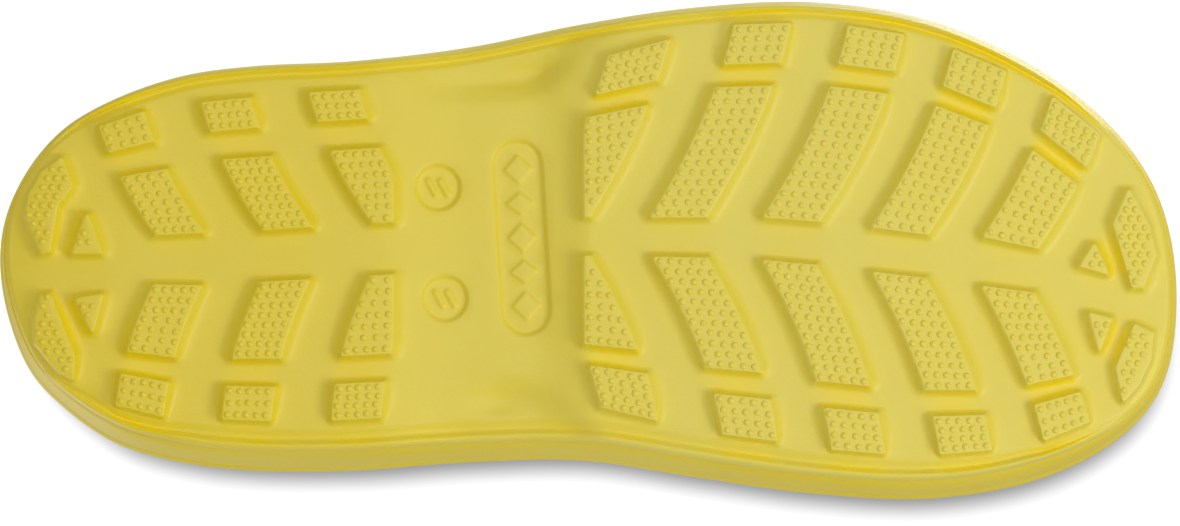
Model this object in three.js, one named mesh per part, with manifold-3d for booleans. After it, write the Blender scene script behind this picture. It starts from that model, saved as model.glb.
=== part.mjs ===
// Rubber garden clog for the right foot, in millimetres.
// +X runs from the heel to the toe, +Y to the inner (big toe) side of the foot, +Z up.
// The clog stands on its tread lugs at z = 0, with the origin under the middle of its box.

import * as THREE from "three";
import { mergeVertices } from "three/addons/utils/BufferGeometryUtils.js";
import Module from "manifold-3d";

const wasm = await Module();
wasm.setup();

// ---- driving sizes ---------------------------------------------------------------------
const LENGTH = 256; // heel to toe, over the sidewall
const WIDTH = 108; // across the ball of the foot, over the sidewall

const LUG_HEIGHT = 2.8; // tread lugs stand this far out of the outsole
const LUG_DRAFT = 0.7; // a lug's foot is wider than its face by this, all round
const LUG_SINK = 1.0; // a lug's root runs this far into the plate
const PLATE = 5.4; // outsole plate, from its tread side to the joint with the midsole
const RIM_INSET = 3.4; // the outsole's edge lies this far inside the sidewall, at the sides
const RIM_INSET_TIP = 1.6; // and at the heel and toe tips
const HEEL_STACK = 18.5; // midsole under the heel
const BALL_STACK = 12.5; // midsole under the ball of the foot
const TOE_STACK = 11.5; // midsole under the toe
const TOE_SPRING = 7; // rise of the tread at the toe tip
const HEEL_BEVEL = 3; // rise of the tread at the heel tip
const ARCH_RISE = 3; // hollow of the tread under the waist
const BADGE_DEPTH = 1.0; // recessed badge and discs in the waist
const BADGE_LENGTH = 42; // across the foot
const BADGE_WIDTH = 10.6;
const DISC_RADIUS = 4.9;

const WALL = 4.5; // upper
const FOXING_HEIGHT = 6.5; // band of the upper that sits on the midsole
const LEDGE_HEEL = 6.2; // the wall rises this far inside the foxing at the heel
const LEDGE_WAIST = 8; // and at the waist
const LEDGE_BALL = 4.2; // and at the ball and toe
const INSTEP = 98; // top of the vamp at the throat
const TOE_TOP = 36; // top of the upper at the toe tip
const HEEL_RIM = 50; // lowest edge of the mouth, at the heel
const SLOT_LENGTH = 15; // vents in the vamp
const SLOT_WIDTH = 3.8;
const DRAIN_RADIUS = 2.1; // drain holes in the side walls

const FOOTBED = 4; // removable footbed, at its middle
const FOOTBED_LIP = 2.5; // its edge stands higher than its middle

const PIVOT_X = -36; // rivets, from the middle of the clog
const PIVOT_Z = 58;
const SHANK_RADIUS = 3;
const HEAD_RADIUS = 7;
const HEAD_HEIGHT = 1.8;
const CAP_RADIUS = 6.5;
const CAP_HEIGHT = 2.6;
const WASHER_RADIUS = 7;
const WASHER = 0.8;
const BOSS_RADIUS = 9; // flat pad of the upper round each rivet
const BOSS_PROUD = 1.1; // the pad stands out of the wall by this
const BOSS_DEEP = 1.8; // and into the shoe by this, so that the cap sits flat
const STRAP = 2.6; // thickness
const STRAP_END = 8; // radius of the strap's round ends
const STRAP_BACK = 9.5; // half the strap's width behind the heel
const STRAP_RISE = 8; // its middle at the heel stands this far above the rivets
const STRAP_INSET = 5; // and this far inside the sidewall

const GAP = 0.3; // between pieces that touch
const TOOL_REACH = 6; // cutters run this far past what they cut
const BORE_GAP = 0.3; // between a shank and its hole, on the radius
const SLIVER = 0.01; // joins and cuts leave no edge shorter than this

// ---- mesh helpers ----------------------------------------------------------------------
function closedGeometry(points, faces) {
  const raw = new THREE.BufferGeometry();
  raw.setAttribute("position", new THREE.Float32BufferAttribute(points.flatMap((p) => [p.x, p.y, p.z]), 3));
  raw.setIndex(faces.flat());
  return weld(raw);
}

function weld(geometry) {
  const bare = geometry.clone();
  bare.deleteAttribute("normal");
  bare.deleteAttribute("uv");
  const merged = mergeVertices(bare, 1e-4);
  const index = merged.index.array;
  const kept = [];
  for (let i = 0; i < index.length; i += 3) {
    const [a, b, c] = [index[i], index[i + 1], index[i + 2]];
    if (a !== b && b !== c && c !== a) kept.push(a, b, c);
  }
  merged.setIndex(kept);
  return merged;
}

function toSolid(geometry) {
  const welded = weld(geometry);
  const mesh = new wasm.Mesh({
    numProp: 3,
    vertProperties: new Float32Array(welded.attributes.position.array),
    triVerts: new Uint32Array(welded.index.array),
  });
  return new wasm.Manifold(mesh);
}

function toGeometry(solid) {
  const mesh = solid.simplify(SLIVER).getMesh();
  const geometry = new THREE.BufferGeometry();
  geometry.setAttribute("position", new THREE.BufferAttribute(new Float32Array(mesh.vertProperties), 3));
  geometry.setIndex(new THREE.BufferAttribute(new Uint32Array(mesh.triVerts), 1));
  return geometry;
}

const join = (first, ...others) => others.reduce((sum, next) => sum.add(toSolid(next)), toSolid(first));
const cut = (solid, tools) => tools.reduce((rest, tool) => rest.subtract(toSolid(tool)), solid);

// A smooth curve y(x) through a few points [x, y] that never swings past them.
function through(points) {
  const rates = points.slice(1).map((p, i) => (p[1] - points[i][1]) / (p[0] - points[i][0]));
  const slopes = points.map((_, i) => {
    const [before, after] = [rates[Math.max(i - 1, 0)], rates[Math.min(i, rates.length - 1)]];
    return before * after > 0 ? (2 * before * after) / (before + after) : 0;
  });
  return (x) => {
    if (x <= points[0][0]) return points[0][1];
    const end = points.findIndex((p) => p[0] >= x);
    if (end < 0) return points[points.length - 1][1];
    const [a, b] = [points[end - 1], points[end]];
    const span = b[0] - a[0];
    const t = (x - a[0]) / span;
    const s = 1 - t;
    const ease = t * t * (3 - 2 * t);
    return a[1] * (1 - ease) + b[1] * ease + span * t * s * (slopes[end - 1] * s - slopes[end] * t);
  };
}

// ---- the sole's outline ------------------------------------------------------------------
// Stations from heel to toe: share of the length, then the outer and the inner side as
// shares of half the width. The tips close the outline.
const HEEL_TIP = [0, 0];
const TOE_TIP = [1, 0.16];
const STATIONS = [
  [0.006, -0.18, 0.22],
  [0.026, -0.37, 0.46],
  [0.055, -0.52, 0.61],
  [0.1, -0.64, 0.755],
  [0.155, -0.73, 0.83],
  [0.215, -0.77, 0.862],
  [0.3, -0.79, 0.863],
  [0.4, -0.845, 0.83],
  [0.495, -0.935, 0.825],
  [0.59, -1.0, 0.893],
  [0.69, -1.02, 0.96],
  [0.79, -0.947, 0.98],
  [0.88, -0.76, 0.905],
  [0.94, -0.545, 0.77],
  [0.975, -0.335, 0.62],
  [0.993, -0.12, 0.45],
];
const STEPS = 2; // pieces of outline to each station

const along = (share) => (share - 0.5) * LENGTH;
const across = (share) => (share * WIDTH) / 2;

// The outline runs heel tip, outer side, toe tip, inner side, so point i on the outer side
// and point COUNT - i on the inner side are a pair.
const HALF = (STATIONS.length + 1) * STEPS;
const COUNT = 2 * HALF;
const outline = new THREE.CatmullRomCurve3(
  [
    [HEEL_TIP[0], HEEL_TIP[1]],
    ...STATIONS.map(([x, outer]) => [x, outer]),
    [TOE_TIP[0], TOE_TIP[1]],
    ...STATIONS.toReversed().map(([x, , inner]) => [x, inner]),
  ].map(([x, y]) => new THREE.Vector3(along(x), across(y), 0)),
  true,
);
const OUTLINE = Array.from({ length: COUNT }, (_, i) => outline.getPoint(i / COUNT));
const INWARD = OUTLINE.map((_, i) => {
  const way = OUTLINE[(i + 1) % COUNT].clone().sub(OUTLINE[(i + COUNT - 1) % COUNT]).normalize();
  return new THREE.Vector3(-way.y, way.x, 0);
});

// A ring of the outline, moved in by inset(x) and lifted to height(x).
function ring(inset, height) {
  return OUTLINE.map((p, i) => {
    const moved = p.clone().addScaledVector(INWARD[i], inset(p.x));
    moved.z = height(moved.x);
    return moved;
  });
}

const fixed = (value) => () => value;

// The outer and inner side of the outline at x, moved in by inset.
function sides(x, inset) {
  const edge = ring(fixed(inset), fixed(0));
  const crossing = (from, to) => {
    for (let i = from; i < to; i += 1) {
      const [a, b] = [edge[i], edge[(i + 1) % COUNT]];
      if ((a.x - x) * (b.x - x) <= 0 && a.x !== b.x) return a.y + ((b.y - a.y) * (x - a.x)) / (b.x - a.x);
    }
    return 0;
  };
  return [crossing(0, HALF), crossing(HALF, COUNT)];
}

// A cap across a ring: a grid of `columns` strips, with its own height(x, y, share across).
function capFaces(points, start, columns, height, facingUp) {
  const faces = [];
  const rows = [];
  for (let i = 0; i <= HALF; i += 1) {
    const outer = start + i;
    const inner = start + ((COUNT - i) % COUNT);
    if (i === 0 || i === HALF) {
      rows.push(Array(columns + 1).fill(outer));
      continue;
    }
    const row = [outer];
    for (let j = 1; j < columns; j += 1) {
      const p = points[outer].clone().lerp(points[inner], j / columns);
      p.z = height(p.x, p.y, j / columns, p.z);
      row.push(points.push(p) - 1);
    }
    rows.push([...row, inner]);
  }
  for (let i = 0; i < HALF; i += 1) {
    for (let j = 0; j < columns; j += 1) {
      const [a, b, c, d] = [rows[i][j], rows[i + 1][j], rows[i + 1][j + 1], rows[i][j + 1]];
      const pair = i < HALF / 2 ? [[a, b, c], [a, c, d]] : [[a, b, d], [b, c, d]];
      pair.forEach((f) => faces.push(facingUp ? f : [f[0], f[2], f[1]]));
    }
  }
  return faces;
}

// A solid from stacked rings, lowest first, closed by a cap at each end.
function stack(rings, { columns = 2, under, over } = {}) {
  const points = rings.flat().map((p) => p.clone());
  const faces = [];
  for (let k = 0; k + 1 < rings.length; k += 1) {
    for (let i = 0; i < COUNT; i += 1) {
      const [a, b] = [k * COUNT + i, k * COUNT + ((i + 1) % COUNT)];
      faces.push([a, b, b + COUNT], [a, b + COUNT, a + COUNT]);
    }
  }
  const top = (rings.length - 1) * COUNT;
  faces.push(...capFaces(points, 0, columns, under ?? ((x, y, s, z) => z), false));
  faces.push(...capFaces(points, top, columns, over ?? ((x, y, s, z) => z), true));
  return closedGeometry(points, faces);
}

// A solid with a flat or drafted side, from two polygons of the same count, counterclockwise
// from above. Each polygon is convex or nearly so.
function frustum(low, high) {
  const count = low.length;
  const faces = [];
  for (let i = 0; i < count; i += 1) {
    const next = (i + 1) % count;
    faces.push([i, next, count + next], [i, count + next, count + i]);
  }
  const flat = low.map((p) => new THREE.Vector2(p.x, p.y));
  THREE.ShapeUtils.triangulateShape(flat, []).forEach(([a, b, c]) => {
    faces.push([a, c, b], [count + a, count + b, count + c]);
  });
  return closedGeometry([...low, ...high], faces);
}

// ---- heights along the clog --------------------------------------------------------------
const ground = through([
  [along(0), HEEL_BEVEL],
  [along(0.05), HEEL_BEVEL * 0.35],
  [along(0.12), 0],
  [along(0.68), 0],
  [along(0.84), TOE_SPRING * 0.3],
  [along(1), TOE_SPRING],
]);
const arch = through([
  [along(0.33), 0],
  [along(0.4), ARCH_RISE],
  [along(0.45), ARCH_RISE],
  [along(0.5), 0],
]);
const midsoleStack = through([
  [along(0), HEEL_STACK],
  [along(0.25), HEEL_STACK],
  [along(0.7), BALL_STACK],
  [along(1), TOE_STACK],
]);
const rimInset = through([
  [along(0), RIM_INSET_TIP],
  [along(0.15), RIM_INSET],
  [along(0.86), RIM_INSET],
  [along(1), RIM_INSET_TIP],
]);
const treadSide = (x) => ground(x) + LUG_HEIGHT + arch(x);
const plateTop = (x) => treadSide(x) + PLATE;
const midsoleFloor = (x) => plateTop(x) + GAP;
const midsoleTop = (x) => ground(x) + LUG_HEIGHT + PLATE + GAP + midsoleStack(x);
const upperFloor = (x) => midsoleTop(x) + GAP;

// ---- tread -------------------------------------------------------------------------------
// The groove that every arm of the tread starts from, as shares of length and half width.
const spineCurve = through(
  [[0, 0.03], [0.2, 0.01], [0.3, -0.02], [0.5, -0.06], [0.63, -0.06], [0.76, 0], [0.85, 0.06], [1, 0.2]]
    .map(([x, y]) => [along(x), across(y)]),
);

// Each zone of the tread has arms that leave the spine at `starts` (share of the length)
// and bend as they go out: bend[0] * d + bend[1] * d * d, at a distance d from the spine.
// rows are the bands, as shares of the way from the spine to the sidewall.
const ZONES = [
  { side: 0, way: 1, from: 0.4965, to: 1, starts: [0.453, 0.552, 0.647, 0.738, 0.829],
    width: 0.048, bend: [0.6, -0.0048], rows: [[0.11, 0.625], [0.75, 0.89]] },
  { side: 1, way: 1, from: 0.4965, to: 1, starts: [0.453, 0.551, 0.642, 0.735, 0.828],
    width: 0.045, bend: [0.6, -0.0062], rows: [[0.105, 0.57], [0.685, 0.83]] },
  { side: 0, way: -1, from: 0, to: 0.335, starts: [0.145, 0.237, 0.329],
    width: 0.042, bend: [0.75, -0.0075], rows: [[0.13, 0.485], [0.655, 0.81]] },
  { side: 1, way: -1, from: 0, to: 0.335, starts: [0.145, 0.238, 0.331],
    width: 0.042, bend: [0.6, -0.0062], rows: [[0.14, 0.5], [0.64, 0.79]] },
];

// Lugs that close the pattern at the toe and the heel, counterclockwise from below,
// as shares of the length and of half the width.
const END_LUGS = [
  [[0.931, -0.03], [0.942, 0.068], [0.92, 0.045]],
  [[0.961, -0.27], [0.976, -0.09], [0.981, 0.045], [0.971, 0.115], [0.963, 0.11], [0.948, -0.15]],
  [[0.928, 0.245], [0.944, 0.27], [0.936, 0.34]],
  [[0.962, 0.295], [0.978, 0.33], [0.976, 0.44], [0.966, 0.54], [0.952, 0.615], [0.946, 0.47]],
  [[0.07, -0.145], [0.081, -0.025], [0.062, -0.025]],
  [[0.047, -0.375], [0.053, -0.27], [0.041, -0.16], [0.04, 0], [0.032, -0.01], [0.021, -0.19], [0.034, -0.33]],
  [[0.066, 0.16], [0.085, 0.158], [0.075, 0.27]],
  [[0.036, 0.17], [0.043, 0.165], [0.061, 0.4], [0.061, 0.5], [0.042, 0.42], [0.03, 0.32]],
].map((lug) => lug.map(([x, y]) => new THREE.Vector2(along(x), across(y))));

// The point of an arm's edge that lies at share v of the way from the spine to the sidewall.
function armPoint(zone, start, v) {
  let x = start;
  let y = 0;
  for (let turn = 0; turn < 4; turn += 1) {
    const spine = spineCurve(x);
    y = spine + v * (sides(x, 0)[zone.side] - spine);
    const d = Math.abs(y - spine);
    x = start + zone.way * (zone.bend[0] * d + zone.bend[1] * d * d);
    x = Math.min(Math.max(x, along(zone.from)), along(zone.to));
  }
  return new THREE.Vector2(x, y);
}

function armLug(zone, start, [near, far]) {
  const begin = along(start);
  const end = begin + zone.width * LENGTH;
  const middle = (near + far) / 2;
  const steps = far - near > 0.2 ? [near, middle, far] : [near, far];
  const heelEdge = steps.map((v) => armPoint(zone, begin, v));
  const toeEdge = steps.map((v) => armPoint(zone, end, v));
  return [...heelEdge, ...toeEdge.reverse()];
}

function grown(polygon, amount) {
  const turned = THREE.ShapeUtils.area(polygon) < 0 ? polygon.toReversed() : polygon;
  return turned.map((p, i) => {
    const before = turned[(i + turned.length - 1) % turned.length];
    const after = turned[(i + 1) % turned.length];
    const a = p.clone().sub(before).normalize();
    const b = after.clone().sub(p).normalize();
    const out = new THREE.Vector2(a.y + b.y, -a.x - b.x);
    return p.clone().addScaledVector(out, amount / Math.max(1 + a.dot(b), 0.5));
  });
}

function lug(polygon) {
  const face = grown(polygon, 0).map((p) => new THREE.Vector3(p.x, p.y, ground(p.x)));
  const root = grown(polygon, LUG_DRAFT).map((p) => new THREE.Vector3(p.x, p.y, treadSide(p.x) + LUG_SINK));
  return frustum(face, root);
}

function allLugs() {
  const arms = ZONES.flatMap((zone) =>
    zone.starts.flatMap((start) => zone.rows.map((row) => armLug(zone, start, row))));
  return [...arms, ...END_LUGS].map(lug);
}

// ---- outsole -----------------------------------------------------------------------------
function prism(polygon, low, high) {
  const lift = (z) => grown(polygon, 0).map((p) => new THREE.Vector3(p.x, p.y, z));
  return frustum(lift(low), lift(high));
}

function stadium(x, y, length, width, angle, arcSteps = 6) {
  const radius = width / 2;
  const reach = length / 2 - radius;
  const points = [];
  for (const end of [1, -1]) {
    for (let i = 0; i <= arcSteps; i += 1) {
      const turn = (Math.PI * i) / arcSteps;
      points.push(new THREE.Vector2(
        end * radius * Math.cos(turn),
        end * (reach + radius * Math.sin(turn)),
      ));
    }
  }
  return points.map((p) => p.rotateAround(new THREE.Vector2(), angle).add(new THREE.Vector2(x, y)));
}

function outsole() {
  const rimTop = (x) => treadSide(x) + PLATE * 0.75;
  const plate = stack(
    [
      ring((x) => rimInset(x) + 2.6, treadSide),
      ring((x) => rimInset(x) + 0.7, (x) => treadSide(x) + 0.4),
      ring(rimInset, (x) => treadSide(x) + 2),
      ring((x) => rimInset(x) - 0.6, rimTop),
      ring((x) => rimInset(x) - 0.4, plateTop),
    ],
    { columns: 2 },
  );
  const waist = along(0.447);
  const badgeFloor = treadSide(waist) + BADGE_DEPTH;
  const recess = (polygon) => prism(polygon, badgeFloor - TOOL_REACH, badgeFloor);
  const recesses = [
    recess(stadium(along(0.444), across(-0.05), BADGE_LENGTH, BADGE_WIDTH, -0.06)),
    recess(stadium(along(0.373), across(-0.25), 2.01 * DISC_RADIUS, 2 * DISC_RADIUS, 0, 8)),
    recess(stadium(along(0.379), across(0.195), 2.01 * DISC_RADIUS, 2 * DISC_RADIUS, 0, 8)),
  ];
  return toGeometry(cut(join(plate, ...allLugs()), recesses));
}

// ---- midsole -----------------------------------------------------------------------------
function midsole() {
  const level = (share) => (x) => midsoleFloor(x) * (1 - share) + midsoleTop(x) * share;
  return stack([
    ring((x) => rimInset(x) - 0.4, midsoleFloor),
    ring((x) => rimInset(x) * 0.5, level(0.12)),
    ring(fixed(0.9), level(0.45)),
    ring(fixed(0.6), level(0.8)),
    ring(fixed(1.6), midsoleTop),
  ]);
}

// ---- upper -------------------------------------------------------------------------------
const ledge = through([
  [along(0), LEDGE_HEEL],
  [along(0.12), LEDGE_HEEL],
  [along(0.26), LEDGE_WAIST],
  [along(0.42), LEDGE_WAIST],
  [along(0.65), LEDGE_BALL],
  [along(1), LEDGE_BALL],
]);
// The vamp's top line falls from the throat to the toe tip. Its shape is drawn in mm for a
// fall of DRAWN_FALL, and stretches to the real one.
const DRAWN_FALL = 62;
const fallen = (drawn) => INSTEP - (drawn * (INSTEP - TOE_TOP)) / DRAWN_FALL;
const ridge = through([
  [along(0), fallen(4)],
  [along(0.3), INSTEP + 6],
  [along(0.5), INSTEP + 3],
  [along(0.56), fallen(1)],
  [along(0.68), fallen(11)],
  [along(0.8), fallen(24)],
  [along(0.9), fallen(39)],
  [along(0.95), fallen(49)],
  [along(0.99), fallen(DRAWN_FALL)],
]);
const fullness = through([[along(0), 2.8], [along(0.36), 2.6], [along(0.52), 2.05], [along(1), 2.2]]);
const ARCH_STEPS = 12;

// A closed dome over the outline: an arch across the foot at each pair of outline points.
function dome(extraInset, drop, floor) {
  const base = ring((x) => ledge(x) + extraInset, floor);
  const points = [];
  for (let i = 0; i <= HALF; i += 1) {
    const outer = base[i];
    const inner = base[(COUNT - i) % COUNT];
    const rise = Math.max(ridge(outer.x) - drop - floor(outer.x), 3);
    const power = 2 / fullness(outer.x);
    for (let k = 0; k <= ARCH_STEPS; k += 1) {
      const turn = (Math.PI * k) / ARCH_STEPS;
      const reach = Math.sign(Math.cos(turn)) * Math.abs(Math.cos(turn)) ** power;
      const share = k === ARCH_STEPS / 2 ? 0.5 : (1 - reach) / 2;
      const p = outer.clone().lerp(inner, share);
      p.z += rise * Math.max(Math.sin(turn), 0) ** power * (k === 0 || k === ARCH_STEPS ? 0 : 1);
      points.push(p);
    }
  }
  const faces = [];
  const width = ARCH_STEPS + 1;
  for (let i = 0; i < HALF; i += 1) {
    const [near, far] = [i * width, (i + 1) * width];
    for (let k = 0; k < ARCH_STEPS; k += 1) {
      faces.push([near + k, far + k, far + k + 1], [near + k, far + k + 1, near + k + 1]);
    }
    const last = ARCH_STEPS;
    faces.push([near, far + last, far], [near, near + last, far + last]);
  }
  return closedGeometry(points, faces);
}

function foxing() {
  const up = (share) => (x) => upperFloor(x) + FOXING_HEIGHT * share;
  return stack([
    ring(fixed(0.8), upperFloor),
    ring(fixed(0), up(0.35)),
    ring(fixed(0.5), up(0.75)),
    ring(fixed(2.2), up(1)),
  ]);
}

// The mouth: everything above the rim, seen from the side.
function mouthTool() {
  const rim = [
    [along(0) - 20, HEEL_RIM + 3],
    [along(0.1), HEEL_RIM + 1],
    [along(0.22), HEEL_RIM],
    [along(0.28), HEEL_RIM + 0.5],
    [along(0.32), HEEL_RIM + 6],
    [along(0.36), HEEL_RIM + 17],
    [along(0.41), HEEL_RIM + 25],
    [along(0.48), HEEL_RIM + 37],
    [along(0.54), HEEL_RIM + 47],
    [along(0.56), INSTEP + 10],
  ];
  const line = through(rim);
  const shape = new THREE.Shape();
  shape.moveTo(rim[0][0], INSTEP + 40);
  const steps = 22;
  for (let i = 0; i <= steps; i += 1) {
    const x = rim[0][0] + ((rim.at(-1)[0] - rim[0][0]) * i) / steps;
    shape.lineTo(x, line(x));
  }
  shape.lineTo(rim.at(-1)[0], INSTEP + 40);
  shape.closePath();
  const tool = new THREE.ExtrudeGeometry(shape, { depth: 2 * WIDTH, bevelEnabled: false });
  return tool.rotateX(Math.PI / 2).translate(0, WIDTH, 0);
}

// Vents: a fan of slots over the toes and another, staggered, behind it.
function ventTools() {
  const fan = (x, spread, count) => Array.from({ length: count }, (_, i) => {
    const lean = (i - (count - 1) / 2) * spread;
    const y = across(-0.02) + lean * WIDTH * 0.9;
    return prism(stadium(x - Math.abs(lean) * 26, y, SLOT_LENGTH, SLOT_WIDTH, -Math.PI / 2 + lean, 4), 40, INSTEP + 20);
  });
  return [...fan(along(0.81), 0.14, 5), ...fan(along(0.7), 0.15, 4)];
}

function drainTools() {
  const places = [0.56, 0.63, 0.7].map((share) => along(share));
  return places.map((x) => {
    const tool = new THREE.CylinderGeometry(DRAIN_RADIUS, DRAIN_RADIUS, 2 * WIDTH, 8);
    return tool.translate(x, 0, upperFloor(x) + FOXING_HEIGHT + 10);
  });
}

const [PIVOT_OUTER, PIVOT_INNER] = sides(PIVOT_X, LEDGE_WAIST);
const PIVOT_MIDDLE = (PIVOT_OUTER + PIVOT_INNER) / 2;

// Half the upper's breadth at the rivets, on a dome that lies `inset` inside its outer face.
function breadthAtPivot(inset) {
  const floor = upperFloor(PIVOT_X);
  const half = (PIVOT_INNER - PIVOT_OUTER) / 2 - inset;
  const rise = ridge(PIVOT_X) - inset - floor;
  const power = fullness(PIVOT_X);
  return half * (1 - ((PIVOT_Z - floor) / rise) ** power) ** (1 / power);
}
const BOSS_FACE = breadthAtPivot(0) + BOSS_PROUD; // outer face of the rivet pads, from the middle
const BOSS_SEAT = breadthAtPivot(WALL) - BOSS_DEEP; // and their inner face
const STRAP_FACE = BOSS_FACE + GAP + WASHER + GAP; // inner face of the strap's ends

// A cylinder along Y between two distances from the middle plane; side is -1 outer, 1 inner.
function plug(radius, from, to, side, segments = 20) {
  const tool = new THREE.CylinderGeometry(radius, radius, to - from, segments);
  return tool.translate(PIVOT_X, PIVOT_MIDDLE + (side * (from + to)) / 2, PIVOT_Z);
}

function upper() {
  const bosses = [-1, 1].map((side) => plug(BOSS_RADIUS, BOSS_SEAT, BOSS_FACE, side));
  const below = (x) => upperFloor(x) - 1.5;
  const shell = join(foxing(), dome(0, 0, upperFloor)).subtract(toSolid(dome(WALL, WALL, below)));
  const rivetHoles = [-1, 1].map((side) =>
    plug(SHANK_RADIUS + BORE_GAP, BOSS_SEAT - 4, BOSS_FACE + 4, side));
  const opened = cut(shell, [mouthTool(), ...ventTools(), ...drainTools()]);
  const padded = bosses.reduce((sum, boss) => sum.add(toSolid(boss)), opened);
  return toGeometry(cut(padded, rivetHoles));
}

// ---- footbed -----------------------------------------------------------------------------
function footbed() {
  const clear = (more) => (x) => ledge(x) + WALL + GAP + more;
  const floor = (x) => midsoleTop(x) + GAP;
  const lip = through([[along(0), FOOTBED_LIP], [along(0.5), FOOTBED_LIP], [along(0.85), 0]]);
  const dish = (x, y, share) => floor(x) + FOOTBED + lip(x) * Math.abs(2 * share - 1) ** 3;
  return stack(
    [
      ring(clear(0.2), floor),
      ring(clear(0.9), (x) => floor(x) + (FOOTBED + lip(x)) * 0.5),
      ring(clear(2.4), (x) => floor(x) + FOOTBED + lip(x)),
    ],
    { columns: 6, over: dish },
  );
}

// ---- strap and rivets ----------------------------------------------------------------------
// The strap's middle line in plan: straight past the rivets, then round behind the heel.
function strapPath() {
  const breadth = STRAP_FACE + STRAP / 2;
  const straight = PIVOT_X - 22;
  const reach = straight - (along(0) + STRAP_INSET);
  const steps = 28;
  const bend = 2.3;
  const path = [];
  for (let i = 0; i <= steps; i += 1) {
    const turn = (Math.PI * i) / steps;
    const c = Math.cos(turn);
    path.push(new THREE.Vector2(
      straight - reach * Math.sin(turn) ** (2 / bend),
      PIVOT_MIDDLE - breadth * Math.sign(c) * Math.abs(c) ** (2 / bend),
    ));
  }
  const start = new THREE.Vector2(PIVOT_X, PIVOT_MIDDLE - breadth);
  const end = new THREE.Vector2(PIVOT_X, PIVOT_MIDDLE + breadth);
  return [start, ...path, end];
}

function heelStrap() {
  const path = strapPath();
  const rear = along(0) + STRAP_INSET;
  const points = [];
  path.forEach((p, i) => {
    const before = path[Math.max(i - 1, 0)];
    const after = path[Math.min(i + 1, path.length - 1)];
    const way = after.clone().sub(before).normalize();
    const out = new THREE.Vector2(way.y, -way.x).multiplyScalar(-STRAP / 2);
    const share = (PIVOT_X - p.x) / (PIVOT_X - rear);
    const middle = PIVOT_Z + STRAP_RISE * share;
    const half = STRAP_END * (1 - share) + STRAP_BACK * share;
    for (const [side, level] of [[1, -1], [1, 1], [-1, 1], [-1, -1]]) {
      points.push(new THREE.Vector3(p.x + side * out.x, p.y + side * out.y, middle + level * half));
    }
  });
  const faces = [[0, 2, 1], [0, 3, 2]];
  for (let i = 0; i + 1 < path.length; i += 1) {
    for (let k = 0; k < 4; k += 1) {
      const [a, b] = [4 * i + k, 4 * i + ((k + 1) % 4)];
      faces.push([a, b + 4, a + 4], [a, b, b + 4]);
    }
  }
  const last = 4 * (path.length - 1);
  faces.push([last, last + 1, last + 2], [last, last + 2, last + 3]);
  const band = closedGeometry(points, faces);
  const ends = [-1, 1].map((side) => plug(STRAP_END, STRAP_FACE, STRAP_FACE + STRAP, side));
  const holes = [-1, 1].map((side) => plug(SHANK_RADIUS + BORE_GAP, STRAP_FACE - 2, STRAP_FACE + STRAP + 2, side));
  return toGeometry(cut(join(band, ...ends), holes));
}

// A turned piece on the rivet axis, from a closed profile of [radius, distance from the middle].
function turned(profile, side) {
  const shape = profile.map(([radius, out]) => new THREE.Vector2(radius, out));
  const lathe = new THREE.LatheGeometry(shape, 16);
  const placed = weld(lathe).rotateX(side < 0 ? Math.PI : 0);
  return placed.translate(PIVOT_X, PIVOT_MIDDLE, PIVOT_Z);
}

function rivet(side) {
  const seat = STRAP_FACE + STRAP + GAP;
  const tip = BOSS_SEAT - GAP - CAP_HEIGHT * 0.55;
  return turned([
    [0, tip],
    [SHANK_RADIUS, tip],
    [SHANK_RADIUS, seat],
    [HEAD_RADIUS, seat],
    [HEAD_RADIUS, seat + HEAD_HEIGHT * 0.4],
    [HEAD_RADIUS * 0.75, seat + HEAD_HEIGHT * 0.85],
    [HEAD_RADIUS * 0.4, seat + HEAD_HEIGHT],
    [0, seat + HEAD_HEIGHT],
  ], side);
}

function rivetCap(side) {
  const seat = BOSS_SEAT - GAP;
  const bottom = seat - CAP_HEIGHT * 0.55 - GAP;
  const bore = SHANK_RADIUS + BORE_GAP;
  return turned([
    [0, seat - CAP_HEIGHT],
    [CAP_RADIUS * 0.7, seat - CAP_HEIGHT],
    [CAP_RADIUS, seat - CAP_HEIGHT * 0.5],
    [CAP_RADIUS, seat],
    [bore, seat],
    [bore, bottom],
    [0, bottom],
  ], side);
}

function washer(side) {
  const [low, high] = [BOSS_FACE + GAP, BOSS_FACE + GAP + WASHER];
  const bore = SHANK_RADIUS + BORE_GAP;
  return turned([[bore, low], [WASHER_RADIUS, low], [WASHER_RADIUS, high], [bore, high], [bore, low]], side);
}

// ---- assembly ------------------------------------------------------------------------------
const foam = new THREE.MeshStandardMaterial({ color: 0xd4be3a, roughness: 0.55, metalness: 0 });
const lining = new THREE.MeshStandardMaterial({ color: 0xcdb83a, roughness: 0.7, metalness: 0 });
const hardware = new THREE.MeshStandardMaterial({ color: 0xcbb22e, roughness: 0.4, metalness: 0 });

const clog = new THREE.Group();
function place(name, geometry, material) {
  const mesh = new THREE.Mesh(geometry, material);
  mesh.name = name;
  clog.add(mesh);
}

place("outsole", outsole(), foam);
place("midsole", midsole(), foam);
place("upper", upper(), foam);
place("footbed", footbed(), lining);
place("heel_strap", heelStrap(), foam);
for (const [side, name] of [[-1, "outer"], [1, "inner"]]) {
  place(`${name}_rivet`, rivet(side), hardware);
  place(`${name}_rivet_cap`, rivetCap(side), hardware);
  place(`${name}_washer`, washer(side), hardware);
}

// The origin lies under the middle of the whole clog's box, on the ground.
const box = new THREE.Box3().setFromObject(clog, true);
const middle = box.getCenter(new THREE.Vector3());
clog.position.set(-middle.x, -middle.y, -box.min.z);

export default clog;
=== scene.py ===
import math
import random

import bmesh
import bpy
import numpy as np
from mathutils import Matrix, Vector
from mathutils.geometry import delaunay_2d_cdt


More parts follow.
